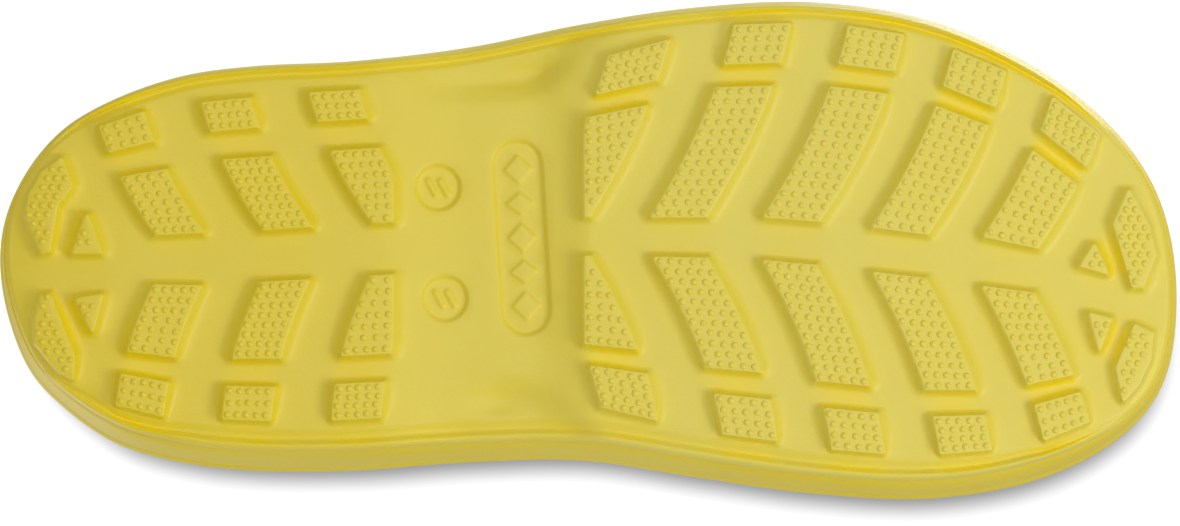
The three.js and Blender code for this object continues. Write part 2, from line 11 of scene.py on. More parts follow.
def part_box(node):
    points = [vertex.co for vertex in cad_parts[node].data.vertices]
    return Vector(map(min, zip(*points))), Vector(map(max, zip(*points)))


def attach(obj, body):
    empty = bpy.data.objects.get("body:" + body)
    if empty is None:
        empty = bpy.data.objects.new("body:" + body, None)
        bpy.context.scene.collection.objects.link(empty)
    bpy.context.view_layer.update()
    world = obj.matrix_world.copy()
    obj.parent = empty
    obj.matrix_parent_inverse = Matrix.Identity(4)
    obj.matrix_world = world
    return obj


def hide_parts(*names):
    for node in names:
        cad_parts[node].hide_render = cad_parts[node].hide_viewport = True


# A rubber garden clog for the right foot. Sizes are in millimetres until a mesh is made.
# +X runs from the heel to the toe, +Y to the inner side of the foot, +Z up.
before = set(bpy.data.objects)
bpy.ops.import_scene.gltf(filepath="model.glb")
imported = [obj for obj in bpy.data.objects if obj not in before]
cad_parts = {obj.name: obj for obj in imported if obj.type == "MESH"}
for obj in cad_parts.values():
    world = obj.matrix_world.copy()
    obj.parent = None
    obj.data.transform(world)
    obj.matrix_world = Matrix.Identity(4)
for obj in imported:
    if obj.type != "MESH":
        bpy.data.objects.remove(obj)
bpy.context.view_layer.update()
MM = 0.001
JOIN = 2e-6  # metres within which points are one
SLIVER = 1e-7

# ---- the clog's sizes --------------------------------------------------------------------
LENGTH = 256
WIDTH = 108
LUG_HEIGHT = 2.8
PLATE = 5.4
RIM_INSET = 3.4
RIM_INSET_TIP = 1.6
HEEL_STACK = 18.5
BALL_STACK = 12.5
TOE_STACK = 11.5
TOE_SPRING = 7
HEEL_BEVEL = 3
BADGE_DEPTH = 1.0
BADGE_LENGTH = 42.5
BADGE_WIDTH = 10.7
DISC_RADIUS = 4.9
WALL = 4.5
FOXING_HEIGHT = 6.5
INSTEP = 98
HEEL_RIM = 50
SLOT_LENGTH = 15
SLOT_WIDTH = 3.8
DRAIN_RADIUS = 2.1
FOOTBED = 4
FOOTBED_LIP = 2.5
PIVOT_X = -36
PIVOT_Z = 58
SHANK_RADIUS = 3
HEAD_RADIUS = 7
HEAD_HEIGHT = 1.8
CAP_RADIUS = 6.5
CAP_HEIGHT = 2.6
WASHER_RADIUS = 7
BOSS_RADIUS = 9
STRAP = 2.6
STRAP_END = 8
STRAP_BACK = 9.5
STRAP_RISE = 8
STRAP_INSET = 5
GAP = 0.3
BORE = SHANK_RADIUS + GAP
EDGE_EASE = 0.9  # the tread plate and the platform are eased this far in where they meet


# ---- curves along the clog -----------------------------------------------------------------
def through(*points):
    """A smooth curve y(x) through a few points that never swings past them."""
    xs, ys = np.array(points, float).T
    rates = np.diff(ys) / np.diff(xs)
    before, after = np.r_[rates[:1], rates], np.r_[rates, rates[-1:]]
    turning = before * after <= 0
    slopes = np.where(turning, 0, 2 * before * after / np.where(turning, 1, before + after))

    def height(x, u=None):
        x = np.clip(x, xs[0], xs[-1])
        k = np.clip(np.searchsorted(xs, x) - 1, 0, len(xs) - 2)
        span = xs[k + 1] - xs[k]
        t = (x - xs[k]) / span
        ease = t * t * (3 - 2 * t)
        lean = slopes[k] * (1 - t) - slopes[k + 1] * t
        return ys[k] * (1 - ease) + ys[k + 1] * ease + span * t * (1 - t) * lean

    return height


def rise(low, high, value):
    """0 below low, 1 above high, smooth between."""
    t = np.clip((np.asarray(value, float) - low) / (high - low), 0, 1)
    return t * t * (3 - 2 * t)


def along(share):
    return (share - 0.5) * LENGTH


def lengthwise(*points):
    """A smooth curve y(x) through points whose places are shares of the length."""
    return through(*[(along(share), y) for share, y in points])


WAIST_RISE = 3
LEDGE_HEEL, LEDGE_WAIST, LEDGE_TOE = 6.2, 8, 4.2
ground = lengthwise(
    (0, HEEL_BEVEL), (0.05, HEEL_BEVEL * 0.35), (0.12, 0),
    (0.68, 0), (0.84, TOE_SPRING * 0.3), (1, TOE_SPRING),
)
waist_hollow = lengthwise((0.33, 0), (0.4, WAIST_RISE), (0.45, WAIST_RISE), (0.5, 0))
midsole_stack = lengthwise((0, HEEL_STACK), (0.25, HEEL_STACK), (0.7, BALL_STACK), (1, TOE_STACK))
rim_inset = lengthwise((0, RIM_INSET_TIP), (0.15, RIM_INSET), (0.86, RIM_INSET), (1, RIM_INSET_TIP))
ledge = lengthwise(
    (0, LEDGE_HEEL), (0.12, LEDGE_HEEL), (0.26, LEDGE_WAIST),
    (0.42, LEDGE_WAIST), (0.65, LEDGE_TOE), (1, LEDGE_TOE),
)
ridge = lengthwise(*[
    (share, INSTEP + more) for share, more in (
        (0, -4), (0.3, 6), (0.5, 3), (0.56, -1), (0.68, -11),
        (0.8, -24), (0.9, -39), (0.95, -49), (0.99, -62),
    )
])
fullness = lengthwise((0, 2.8), (0.36, 2.6), (0.52, 2.05), (1, 2.2))
mouth_line = through((along(0) - 20, HEEL_RIM + 3), *[
    (along(share), HEEL_RIM + more) for share, more in (
        (0.1, 1), (0.22, 0), (0.28, 0.5), (0.32, 6), (0.36, 17), (0.41, 25), (0.48, 37), (0.54, 47),
    )
], (along(0.56), INSTEP + 10))

HEEL_TURN, TOE_TURN = (-124, -100), (98, 120)
OUTER_RIM_OUT = 1.1


def sideness(x):
    """1 along the sides of the tread, 0 at the heel and toe tips."""
    return rise(*HEEL_TURN, x) * (1 - rise(*TOE_TURN, x))


def on_outer_side(u):
    return (u > 0) & (u < HALF)


def rim_at(x, u):
    """Inset of the outsole's edge. It lies nearer the sidewall on the outer side of the foot."""
    return rim_inset(x) - OUTER_RIM_OUT * sideness(x) * on_outer_side(u)


def plate_edge(x, u):
    """Inset of the joint between the tread plate and the platform."""
    return rim_at(x, u) + EDGE_EASE


def plate_top(x):
    return ground(x) + LUG_HEIGHT + waist_hollow(x) + PLATE


def midsole_floor(x):
    return plate_top(x) + GAP


def midsole_top(x):
    return ground(x) + LUG_HEIGHT + PLATE + GAP + midsole_stack(x)


def upper_floor(x):
    return midsole_top(x) + GAP


# ---- the sole's outline ----------------------------------------------------------------------
# From heel to toe: share of the length, then the outer and inner side as shares of half the width.
STATIONS = (
    (0.006, -0.18, 0.22), (0.026, -0.37, 0.46), (0.055, -0.52, 0.61), (0.1, -0.64, 0.755),
    (0.155, -0.73, 0.83), (0.215, -0.77, 0.862), (0.3, -0.79, 0.863), (0.4, -0.845, 0.83),
    (0.495, -0.935, 0.825), (0.59, -1.0, 0.893), (0.69, -1.02, 0.96), (0.79, -0.947, 0.98),
    (0.88, -0.76, 0.905), (0.94, -0.545, 0.77), (0.975, -0.335, 0.62), (0.993, -0.12, 0.45),
)
HEEL_TIP, TOE_TIP = (0, 0), (1, 0.16)
CONTROL = np.array(
    [HEEL_TIP, *[(x, outer) for x, outer, _ in STATIONS],
     TOE_TIP, *[(x, inner) for x, _, inner in reversed(STATIONS)]]
)
CONTROL = np.c_[along(CONTROL[:, 0]), CONTROL[:, 1] * WIDTH / 2]
SPANS = len(CONTROL)
HALF = SPANS // 2


def outline(u):
    """Points of the outline. u counts stations: heel tip 0, outer side, toe tip HALF, inner side."""
    u = np.asarray(u, float) % SPANS
    i = np.floor(u).astype(int)
    t = (u - i)[..., None]
    p0, p1, p2, p3 = (CONTROL[(i + k) % SPANS] for k in (-1, 0, 1, 2))
    pairs = ((p0, p1), (p1, p2), (p2, p3))
    d0, d1, d2 = (np.sqrt(np.linalg.norm(b - a, axis=-1))[..., None] for a, b in pairs)
    out = ((p1 - p0) / d0 - (p2 - p0) / (d0 + d1) + (p2 - p1) / d1) * d1
    into = ((p2 - p1) / d1 - (p3 - p1) / (d1 + d2) + (p3 - p2) / d2) * d1
    ease = t * t * (3 - 2 * t)
    return p1 * (1 - ease) + p2 * ease + out * t * (1 - t) ** 2 - into * t * t * (1 - t)


breadth_line = outline(np.linspace(0, SPANS, 2000))[:, 1]
SIDE_SHIFT = -np.ptp(breadth_line) / 2 - breadth_line.min()
CONTROL[:, 1] += SIDE_SHIFT


def across(share):
    return share * WIDTH / 2 + SIDE_SHIFT


def inward(u, step=0.02):
    way = outline(u + step) - outline(u - step)
    way /= np.linalg.norm(way, axis=-1)[..., None]
    return np.stack([-way[..., 1], way[..., 0]], -1)


def edge(u, inset, height):
    """Points of the outline moved in by inset(x, u) and lifted to height(x)."""
    u = np.asarray(u, float)
    p = outline(u)
    p = p + inward(u) * np.reshape(inset(p[..., 0], u) if callable(inset) else inset, (-1, 1))
    z = height(p[..., 0]) if callable(height) else np.full(len(p), float(height))
    return np.c_[p, z]


ROUND_STEPS = 10
ROUND = np.linspace(0, SPANS, SPANS * ROUND_STEPS + 1)
OUTER_ROUND = ROUND[:HALF * ROUND_STEPS + 1]
DENSE = np.linspace(0, HALF, 800)


def side_lines(inset):
    """The outer and the inner side of the outline, moved in, as y(x)."""
    lines = [edge(DENSE, inset, 0), edge(SPANS - DENSE, inset, 0)]
    return [lambda x, p=p: np.interp(x, p[:, 0], p[:, 1]) for p in lines]


SIDES = side_lines(0)


# ---- meshes -------------------------------------------------------------------------------------
def quads(rows, columns, first=0):
    """The faces of a grid whose points are numbered row by row."""
    index = first + np.arange(rows * columns).reshape(rows, columns)
    corners = (index[:-1, :-1], index[1:, :-1], index[1:, 1:], index[:-1, 1:])
    return np.stack(corners, -1).reshape(-1, 4).tolist()


def sew(name, patches, triangles=None, crease=40):
    """A closed mesh in metres from grids of points in millimetres, joined where their edges meet."""
    points, faces, first = [], [], 0
    for grid in patches:
        grid = np.asarray(grid, float)
        rows, columns = grid.shape[:2]
        points.append(grid.reshape(-1, 3))
        faces += quads(rows, columns, first)
        first += rows * columns
    if triangles:
        points.append(np.asarray(triangles[0]))
        faces += (np.asarray(triangles[1]) + first).tolist()
    mesh = bpy.data.meshes.new(name)
    mesh.from_pydata((np.concatenate(points) * MM).tolist(), [], faces)
    shape = bmesh.new()
    shape.from_mesh(mesh)
    bmesh.ops.remove_doubles(shape, verts=shape.verts, dist=JOIN)
    bmesh.ops.dissolve_degenerate(shape, dist=SLIVER, edges=shape.edges)
    bmesh.ops.recalc_face_normals(shape, faces=shape.faces)
    shape.to_mesh(mesh)
    shape.free()
    smooth(mesh, crease)
    return mesh


def smooth(mesh, crease):
    mesh.polygons.foreach_set("use_smooth", [True] * len(mesh.polygons))
    mesh.set_sharp_from_angle(angle=math.radians(crease))


def lid(inset, height, columns=1):
    """A grid from the outline's outer to its inner side. height takes x, y and the share across."""
    outer, inner = (edge(u, inset, 0) for u in (OUTER_ROUND, SPANS - OUTER_ROUND))
    share = np.linspace(0, 1, columns + 1)
    grid = outer[:, None] * (1 - share[:, None]) + inner[:, None] * share[:, None]
    grid[..., 2] = height(grid[..., 0], grid[..., 1], share[None] + 0 * grid[..., 0])
    return grid


def in_scene(name, data):
    """An object of the scene that shows a mesh, a lamp or a camera."""
    made = bpy.data.objects.new(name, data)
    bpy.context.scene.collection.objects.link(made)
    return made


def place(name, mesh, finish, slot, body, *nodes):
    """A finished piece that rides on a body and stands for CAD nodes."""
    mesh.materials.clear()
    mesh.materials.append(finish)
    made = in_scene(name, mesh)
    if nodes:
        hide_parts(*nodes)
    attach(made, body)
    return made


def carved(mesh, tools, operation, crease=40):
    """The mesh joined with, or cut by, other meshes."""
    body = in_scene("carving", mesh)
    others = [bpy.data.objects.new("tool", tool) for tool in tools]
    group = bpy.data.collections.new("tools")
    for other in others:
        group.objects.link(other)
    change = body.modifiers.new("carve", "BOOLEAN")
    change.operand_type = "COLLECTION"
    change.collection = group
    change.operation = operation
    change.solver = "EXACT"
    ready = body.evaluated_get(bpy.context.evaluated_depsgraph_get())
    result = bpy.data.meshes.new_from_object(ready)
    for used in (body, *others):
        bpy.data.objects.remove(used)
    bpy.data.collections.remove(group)
    smooth(result, crease)
    return result

# ---- finishes -------------------------------------------------------------------------------------
class Value:
    """A socket's value, which can take part in sums."""

    def __init__(self, finish, socket):
        self.finish = finish
        self.socket = socket

    def sum(self, operation, first, second):
        return self.finish.node("Math", {0: first, 1: second}, operation=operation)

    def __add__(self, other):
        return self.sum("ADD", self, other)

    def __sub__(self, other):
        return self.sum("SUBTRACT", self, other)

    def __rsub__(self, other):
        return self.sum("SUBTRACT", other, self)

    def __mul__(self, other):
        return self.sum("MULTIPLY", self, other)

    __radd__ = __add__
    __rmul__ = __mul__


class Finish:
    """A material, or the studio's surround, under construction."""

    def __init__(self, name, store=None):
        self.made = (bpy.data.materials if store is None else store).new(name)
        self.made.use_nodes = True
        self.tree = self.made.node_tree
        self.tree.nodes.clear()

    def node(self, kind, sockets=None, out=0, **settings):
        made = self.tree.nodes.new("ShaderNode" + kind)
        for name, value in settings.items():
            setattr(made, name, value)
        for name, value in (sockets or {}).items():
            if isinstance(value, Value):
                self.tree.links.new(value.socket, made.inputs[name])
            else:
                made.inputs[name].default_value = value
        return None if out is None else Value(self, made.outputs[out])

    def noise(self, place, scale, detail=2.0, rough=0.5):
        sockets = {"Vector": place, "Scale": scale, "Detail": detail, "Roughness": rough}
        return self.node("TexNoise", sockets)

    def blend(self, share, first, second):
        sockets = {"Factor": share, 6: first, 7: second}
        return self.node("Mix", sockets, out=2, data_type="RGBA")

    def done(self, shader, kind="Material"):
        self.node("Output" + kind, {"Surface": shader}, out=None)
        return self.made


def clear_range(value, low, high):
    """value stretched from low..high to 0..1 and held there."""
    sockets = {"Value": value, "From Min": low, "From Max": high}
    return value.finish.node("MapRange", sockets)


def moulded_foam(name, face, deep, pale_and_haze, pebble, gloss, drift=0.0):
    """Closed-cell foam out of a mould: cloudy colour, painted shade that deepens the colour in the creases,
    a painted highlight haze, as strong as drift, that pales it toward the toe, finely pebbled skin.
    """
    f = Finish(name)
    place_on = f.node("TexCoord", out="Object")
    clouds = clear_range(f.noise(place_on, 26, 3.0), 0.35, 0.68)
    specks = clear_range(f.noise(place_on, 700, 2.0), 0.56, 0.72)
    # Painted shade: ambient occlusion marks creases and hollows, and the colour there is blended toward the
    # deeper crease colour.
    crease = 1 - f.node("AmbientOcclusion", {"Distance": 0.005}, out="AO", samples=8)
    # Painted highlight: by drift, the colour turns paler toward the toe, standing in for the white haze
    # that the light lays on the ball and toe.
    toe_haze = clear_range(f.node("SeparateXYZ", {0: place_on}), -0.07, 0.03)
    colour = f.blend(clouds * 0.3 + toe_haze * drift, face, pale_and_haze)
    colour = f.blend(specks * 0.12, colour, pale_and_haze)
    # Painted shade: where ambient occlusion finds creases, the colour goes over to the deeper, more
    # saturated crease colour.
    colour = f.blend(clear_range(crease, 0.08, 0.45), colour, deep)
    skin = f.noise(place_on, 1500, 3.0, 0.6) * 0.6 + f.noise(place_on, 420, 1.0) * 0.4
    wave = f.noise(place_on, 60, 1.0)
    bump = f.node("Bump", {"Strength": pebble, "Distance": 0.0003, "Height": skin})
    bump = f.node("Bump", {"Strength": 0.2, "Distance": 0.0006, "Height": wave, "Normal": bump})
    rough = gloss + clouds * 0.08 + specks * 0.06
    sockets = {
        "Base Color": colour, "Roughness": rough, "Normal": bump, "IOR": 1.5, "Specular IOR Level": 0.75,
        "Subsurface Weight": 0.12, "Subsurface Scale": 0.0015, "Subsurface Radius": (1.0, 0.8, 0.15),
    }
    return f.done(f.node("BsdfPrincipled", sockets))


def rivet_plastic(name, face, deep):
    """Hard moulded plastic: even, smoother than the foam, with faint turning marks."""
    f = Finish(name)
    place_on = f.node("TexCoord", out="Object")
    clouds = clear_range(f.noise(place_on, 180, 2.0), 0.35, 0.7)
    colour = f.blend(clouds, face, deep)
    fine = f.noise(place_on, 2200, 2.0)
    bump = f.node("Bump", {"Strength": 0.12, "Distance": 0.0002, "Height": fine})
    sockets = {
        "Base Color": colour, "Roughness": 0.3 + clouds * 0.1, "Normal": bump,
        "Coat Weight": 0.15, "Coat Roughness": 0.25,
    }
    return f.done(f.node("BsdfPrincipled", sockets))


FACE = (0.82, 0.64, 0.012, 1)
# Painted shade: the deeper, more saturated colour that creases and hollows are blended toward.
CREASE_SHADE = (0.92, 0.73, 0.0, 1)
# A paler tone for the random clouds and specks. On the tread it is also a painted highlight haze toward the
# toe, as strong as the tread's last number.
PALE_AND_HAZE = (0.82, 0.70, 0.1, 1)
TREAD_FOAM = moulded_foam("tread_foam", FACE, CREASE_SHADE, PALE_AND_HAZE, 0.22, 0.44, 0.65)
SHELL_FOAM = moulded_foam("shell_foam", FACE, CREASE_SHADE, PALE_AND_HAZE, 0.34, 0.5)
INSOLE_FOAM = moulded_foam("insole_foam", (0.74, 0.57, 0.04, 1), CREASE_SHADE, FACE, 0.5, 0.6)
RIVET_PLASTIC = rivet_plastic("rivet_plastic", (0.78, 0.59, 0.02, 1), (0.72, 0.53, 0.015, 1))


# ---- tread: where the lugs stand -------------------------------------------------------------------
SPINE = lengthwise(*[
    (x, across(y)) for x, y in (
        (0, 0.03), (0.2, 0.01), (0.3, -0.02), (0.5, -0.06),
        (0.63, -0.06), (0.76, 0), (0.85, 0.06), (1, 0.2),
    )
])
# Each zone has arms that leave the spine at its starts and bend as they go out. An arm carries one
# long lug and, nearer the sidewall, a short one. Each gives the shares of the way out between which
# it stands, with a second pair for its toe-side edge where that differs.
ZONES = (
    {"side": 0, "way": 1, "span": (0.4965, 1), "starts": (0.444, 0.543, 0.638, 0.729, 0.82),
     "width": 0.048, "bend": (0.67, -0.0048),
     "long": ((0.075, 0.53, 0.075, 0.565), (0.07, 0.62), (0.07, 0.63), (0.075, 0.62, 0.075, 0.6),
              (0.105, 0.565, 0.105, 0.49)),
     "short": ((0.63, 0.8, 0.665, 0.84), (0.715, 0.88), (0.725, 0.885), (0.71, 0.88, 0.69, 0.875),
               (0.675, 0.87, 0.61, 0.84))},
    {"side": 1, "way": 1, "span": (0.4965, 1), "starts": (0.443, 0.541, 0.632, 0.725, 0.818),
     "width": 0.046, "bend": (0.695, -0.0062),
     "long": ((0.1, 0.5, 0.1, 0.51), (0.1, 0.56), (0.105, 0.57), (0.105, 0.57),
              (0.11, 0.555, 0.11, 0.53)),
     "short": ((0.595, 0.78, 0.61, 0.81), (0.665, 0.83), (0.675, 0.84), (0.68, 0.84),
               (0.655, 0.84, 0.63, 0.82))},
    {"side": 0, "way": -1, "span": (0, 0.335), "starts": (0.145, 0.237, 0.329),
     "width": 0.042, "bend": (0.75, -0.0075),
     "long": ((0.1, 0.46), (0.1, 0.48), (0.1, 0.49)),
     "short": ((0.625, 0.81), (0.63, 0.79), (0.645, 0.8))},
    {"side": 1, "way": -1, "span": (0, 0.335), "starts": (0.147, 0.238, 0.331),
     "width": 0.042, "bend": (0.6, -0.0073),
     "long": ((0.16, 0.52), (0.15, 0.51), (0.15, 0.51)),
     "short": ((0.645, 0.825), (0.64, 0.8), (0.635, 0.8))},
)
LONG_STEPS, SHORT_STEPS = 7, 4
END_LUGS = (
    ((0.928, -0.03), (0.941, 0.1), (0.915, 0.066)),
    ((0.957, -0.25), (0.975, -0.1), (0.981, 0.02), (0.969, 0.15), (0.96, 0.15), (0.944, -0.105)),
    ((0.923, 0.25), (0.943, 0.275), (0.932, 0.415)),
    ((0.962, 0.295), (0.978, 0.33), (0.976, 0.44), (0.966, 0.54), (0.952, 0.615), (0.946, 0.47)),
    ((0.076, -0.15), (0.089, 0.02), (0.063, 0.02)),
    ((0.055, -0.37), (0.064, -0.25), (0.051, -0.17), (0.045, 0.01), (0.038, 0.02), (0.024, -0.14),
     (0.027, -0.22), (0.038, -0.31)),
    ((0.066, 0.2), (0.09, 0.18), (0.081, 0.345)),
    ((0.038, 0.185), (0.045, 0.178), (0.057, 0.32), (0.066, 0.43), (0.066, 0.53), (0.052, 0.49),
     (0.033, 0.38), (0.032, 0.28)),
)


def arm_point(zone, start, v):
    """Points of an arm's edge at shares v of the way from the spine to the sidewall."""
    x = np.full(np.shape(v), along(start))
    y = x
    for _ in range(4):
        middle = SPINE(x)
        y = middle + v * (SIDES[zone["side"]](x) - middle)
        d = abs(y - middle)
        x = along(start) + zone["way"] * (zone["bend"][0] * d + zone["bend"][1] * d * d)
        x = np.clip(x, along(zone["span"][0]), along(zone["span"][1]))
    return np.stack([x, y], -1)


def arm_edges(zone, start, row, steps):
    low, high, far_low, far_high = (*row, *row)[:4]
    near = arm_point(zone, start, np.linspace(low, high, steps))
    return near, arm_point(zone, start + zone["width"], np.linspace(far_low, far_high, steps))


def area(polygon):
    x, y = polygon.T
    return 0.5 * np.sum(x * np.roll(y, -1) - np.roll(x, -1) * y)


def tidy_polygon(points, apart=0.05):
    """Counterclockwise, without points that lie on each other."""
    points = points[np.linalg.norm(points - np.roll(points, 1, axis=0), axis=1) > apart]
    return points if area(points) > 0 else points[::-1]


def lug_outlines():
    found = []
    for zone in ZONES:
        for start, *rows in zip(zone["starts"], zone["long"], zone["short"]):
            for row, steps in zip(rows, (LONG_STEPS, SHORT_STEPS)):
                near, far = arm_edges(zone, start, row, steps)
                found.append(tidy_polygon(np.concatenate([near, far[::-1]])))
    for lug in END_LUGS:
        found.append(tidy_polygon(np.array([(along(x), across(y)) for x, y in lug])))
    return found


CORNER_SHARE = 0.4  # a corner takes at most this share of the sides next to it
LEAST_TURN = 0.3  # corners that turn less than this stay as they are
ARC_TURN = 0.4  # the turn, in radians, that each further point round a corner takes up


def rounded(polygon, radius, pitch):
    """Points round the polygon, its corners eased, and the outward direction at each."""
    points, outs = [], []
    count = len(polygon)
    for i in range(count):
        before, corner, after = polygon[i - 1], polygon[i], polygon[(i + 1) % count]
        a, b = corner - before, after - corner
        long_a, long_b = np.linalg.norm(a), np.linalg.norm(b)
        a, b = a / long_a, b / long_b
        turn = math.acos(np.clip(a @ b, -1, 1))
        reach = 0.0
        if turn > LEAST_TURN:
            reach = min(radius * math.tan(turn / 2), long_a * CORNER_SHARE, long_b * CORNER_SHARE)
        start, end = corner - a * reach, corner + b * reach
        for t in (np.linspace(0, 1, 2 + int(turn / ARC_TURN)) if reach else [0.5]):
            points.append(start * (1 - t) ** 2 + corner * 2 * t * (1 - t) + end * t * t)
            way = a * (1 - t) + b * t
            outs.append(np.array([way[1], -way[0]]) / np.linalg.norm(way))
        gap = long_b - reach
        steps = max(int(gap / pitch), 1)
        for k in range(1, steps):
            points.append(end + b * gap * k / steps)
            outs.append(np.array([b[1], -b[0]]))
    return np.array(points), np.array(outs)


def nearest(points, others, chunk=2000):
    """Distance from each point to the nearest of the others."""
    parts = [points[i:i + chunk] for i in range(0, len(points), chunk)]
    return np.concatenate([
        np.sqrt(((part[:, None] - others[None]) ** 2).sum(-1).min(1)) for part in parts
    ])


def inside(points, polygon):
    x, y = points.T
    hit = np.zeros(len(points), bool)
    for (ax, ay), (bx, by) in zip(polygon, np.roll(polygon, -1, axis=0)):
        crosses = (ay > y) != (by > y)
        if ay != by:
            hit ^= crosses & (x < (bx - ax) * (y - ay) / (by - ay) + ax)
    return hit


RIM_TIP, RIM_INNER, RIM_OUTER_LESS = 1.3, 3.5, 1.6
RIM_CLEAR = 0.8


def settled(room, rounds):
    """Values round a closed line, evened out without raising any of them."""
    for _ in range(rounds):
        room = np.minimum(room, (np.roll(room, 1) + room + np.roll(room, -1)) / 3)
    return room


def rim_room():
    """How far in the rim may reach at each point of ROUND before it meets a lug."""
    corners = np.concatenate([rounded(polygon, 0.8, 1.0)[0] for polygon in lug_outlines()])
    u = ROUND[:-1]
    side = sideness(outline(u)[:, 0])
    wanted = RIM_TIP + (RIM_INNER - RIM_OUTER_LESS * on_outer_side(u)) * side
    room = np.minimum(wanted, nearest(edge(u, rim_at, 0)[:, :2], corners) - RIM_CLEAR)
    room = settled(room, 14)
    return np.r_[room, room[0]]


RIM_ROOM = rim_room()


def rim_reach(x, u):
    """Breadth of the rounded rim, from the outsole's edge in to the flat of the tread."""
    return np.interp(np.asarray(u) % SPANS, ROUND, RIM_ROOM)


# ---- tread: heights ------------------------------------------------------------------------------
POCKETS = (
    through((-60, 30), (-28, 31), (-12, 31.5), (-1, 40), (8, 46), (16, 54)),
    through((-60, 34), (-28, 31.4), (-18, 28.5), (-11, 29.8), (-2.4, 34.2), (2, 40), (9, 50)),
)
HOLLOW_DEPTH = 2.3
POCKET_DEPTH = 5.2
POCKET_WALL = 8
POCKET_HEEL_END, POCKET_TOE_END = (-46, -26), (4, 20)
RIM_HOLLOW = 0.45  # share of the hollow's depth that is left at the rim


def hollow(x, y):
    """How far the waist lies back from the tread: a shallow middle and a pocket at each side."""
    middle = HOLLOW_DEPTH * waist_hollow(x) / WAIST_RISE
    limit = np.where(y < 0, POCKETS[0](x), POCKETS[1](x))
    pocket = rise(0, POCKET_WALL, abs(y) - limit)
    pocket = pocket * rise(*POCKET_HEEL_END, x) * (1 - rise(*POCKET_TOE_END, x))
    return middle + POCKET_DEPTH * pocket


def tread_base(x, y, kept=1.0):
    return ground(x) + LUG_HEIGHT + kept * hollow(x, y)


# Rings round a lug: share of the wall's run, and share of its height from the face to the base.
LUG_RINGS = (
    (-0.12, 0.0), (0.0, 0.03), (0.14, 0.22), (0.33, 0.54), (0.58, 0.82), (0.9, 0.965), (1.22, 1.0),
)
# Rings round a recess, or a mark raised in it: distance out, and share of the recess's depth.
RECESS_RINGS = ((0.55, 0.0), (0.25, 0.1), (-0.1, 0.5), (-0.4, 0.9), (-0.75, 1.0))
MARK_RINGS = ((0.5, 1.0), (0.15, 0.86), (-0.2, 0.5), (-0.5, 0.42))

WALL_RUN, WALL_RUN_MORE = 1.3, 1.9  # a lug's wall leans out this far, and more toward toe and heel
LUG_SHOULDER = 2.2
RIM_SHARE, LUG_SHARE = 0.8, 0.42  # the most a wall takes of the room to the rim and to other lugs
GRID = 2.2
GRID_CLEAR = 1.5  # the grid keeps this far from the rim
LUG_CLEAR, LUG_FACE_CLEAR = 1.3, 0.8  # from a lug: in runs of its wall outside, in millimetres within
MARK_CLEAR = 1.2


def set_down(points, x, y, angle):
    """A flat shape turned by an angle and moved to its place."""
    c, s = math.cos(angle), math.sin(angle)
    return tidy_polygon(points @ np.array([[c, s], [-s, c]]) + (x, y))


def stadium(x, y, length, width, angle, steps=10):
    turn = np.linspace(0, math.pi, steps)
    radius, reach = width / 2, (length - width) / 2
    end = np.c_[radius * np.cos(turn), reach + radius * np.sin(turn)]
    return set_down(np.concatenate([end, -end]), x, y, angle)


def disc(x, y, radius, steps):
    return stadium(x, y, 2.02 * radius, 2 * radius, 0, steps)


def lozenge(x, y, long, wide, angle):
    return set_down(np.array([(long, 0), (0, wide), (-long, 0), (0, -wide)]) / 2, x, y, angle)


BADGE = (along(0.444), across(-0.05), -0.06)
DISCS = ((along(0.373), across(-0.25)), (along(0.379), across(0.195)))
LOZENGE_STEP, LOZENGE_LENGTH = 7.4, 6.2
LOZENGE_WIDTHS = (6.4, 5.0)
BAR_STEP, BAR_LENGTH, BAR_WIDTH, BAR_TURN = 1.3, 4.4, 1.2, -0.5


def badge_marks():
    """Raised marks in the recesses: a row of lozenges in the badge and a bar pair in each disc."""
    x, y, turn = BADGE
    found = []
    for k in range(-2, 3):
        spot = (x - math.sin(turn) * k * LOZENGE_STEP, y + k * LOZENGE_STEP)
        found.append(lozenge(*spot, LOZENGE_LENGTH, LOZENGE_WIDTHS[k % 2], turn))
    for cx, cy in DISCS:
        for step in (-BAR_STEP, BAR_STEP):
            found.append(stadium(cx + step, cy, BAR_LENGTH, BAR_WIDTH, BAR_TURN, 6))
    return found


def tread_rings(border):
    """Rings round the rim, lugs, recesses and marks as (points, drop, dent), and what keeps the grid out.

    drop is the share of the way from a lug's face to the base, dent the share of a recess's depth.
    """
    rings, keep_out = [(border, 1, 0)], []
    lugs = [rounded(polygon, 0.5, 1.5) for polygon in lug_outlines()]
    owner = np.concatenate([np.full(len(p), k) for k, (p, _) in enumerate(lugs)])
    every = np.concatenate([p for p, _ in lugs])
    for k, (points, outs) in enumerate(lugs):
        to_rim, to_lug = nearest(points, border), nearest(points, every[owner != k])
        room = np.minimum(to_rim * RIM_SHARE, to_lug * LUG_SHARE)
        run = settled(np.minimum(WALL_RUN + WALL_RUN_MORE * outs[:, 0] ** 2, room), 4)
        for share, drop in LUG_RINGS:
            step = share * (LUG_SHOULDER if share < 0 else run)
            rings.append((points + outs * np.reshape(step, (-1, 1)), drop, 0))
        keep_out.append((points, float(run.max()) * LUG_CLEAR, LUG_FACE_CLEAR, 0, 0))
    recesses = [stadium(*BADGE[:2], BADGE_LENGTH, BADGE_WIDTH, BADGE[2])]
    recesses += [disc(cx, cy, DISC_RADIUS, 14) for cx, cy in DISCS]
    for steps, polygons in ((RECESS_RINGS, recesses), (MARK_RINGS, badge_marks())):
        for polygon in polygons:
            points, outs = rounded(polygon, 0.5, 1.0)
            rings += [(points + outs * step, 1, dent) for step, dent in steps]
            keep_out.append((points, MARK_CLEAR, MARK_CLEAR, 1, steps[-1][1]))
    return rings, keep_out


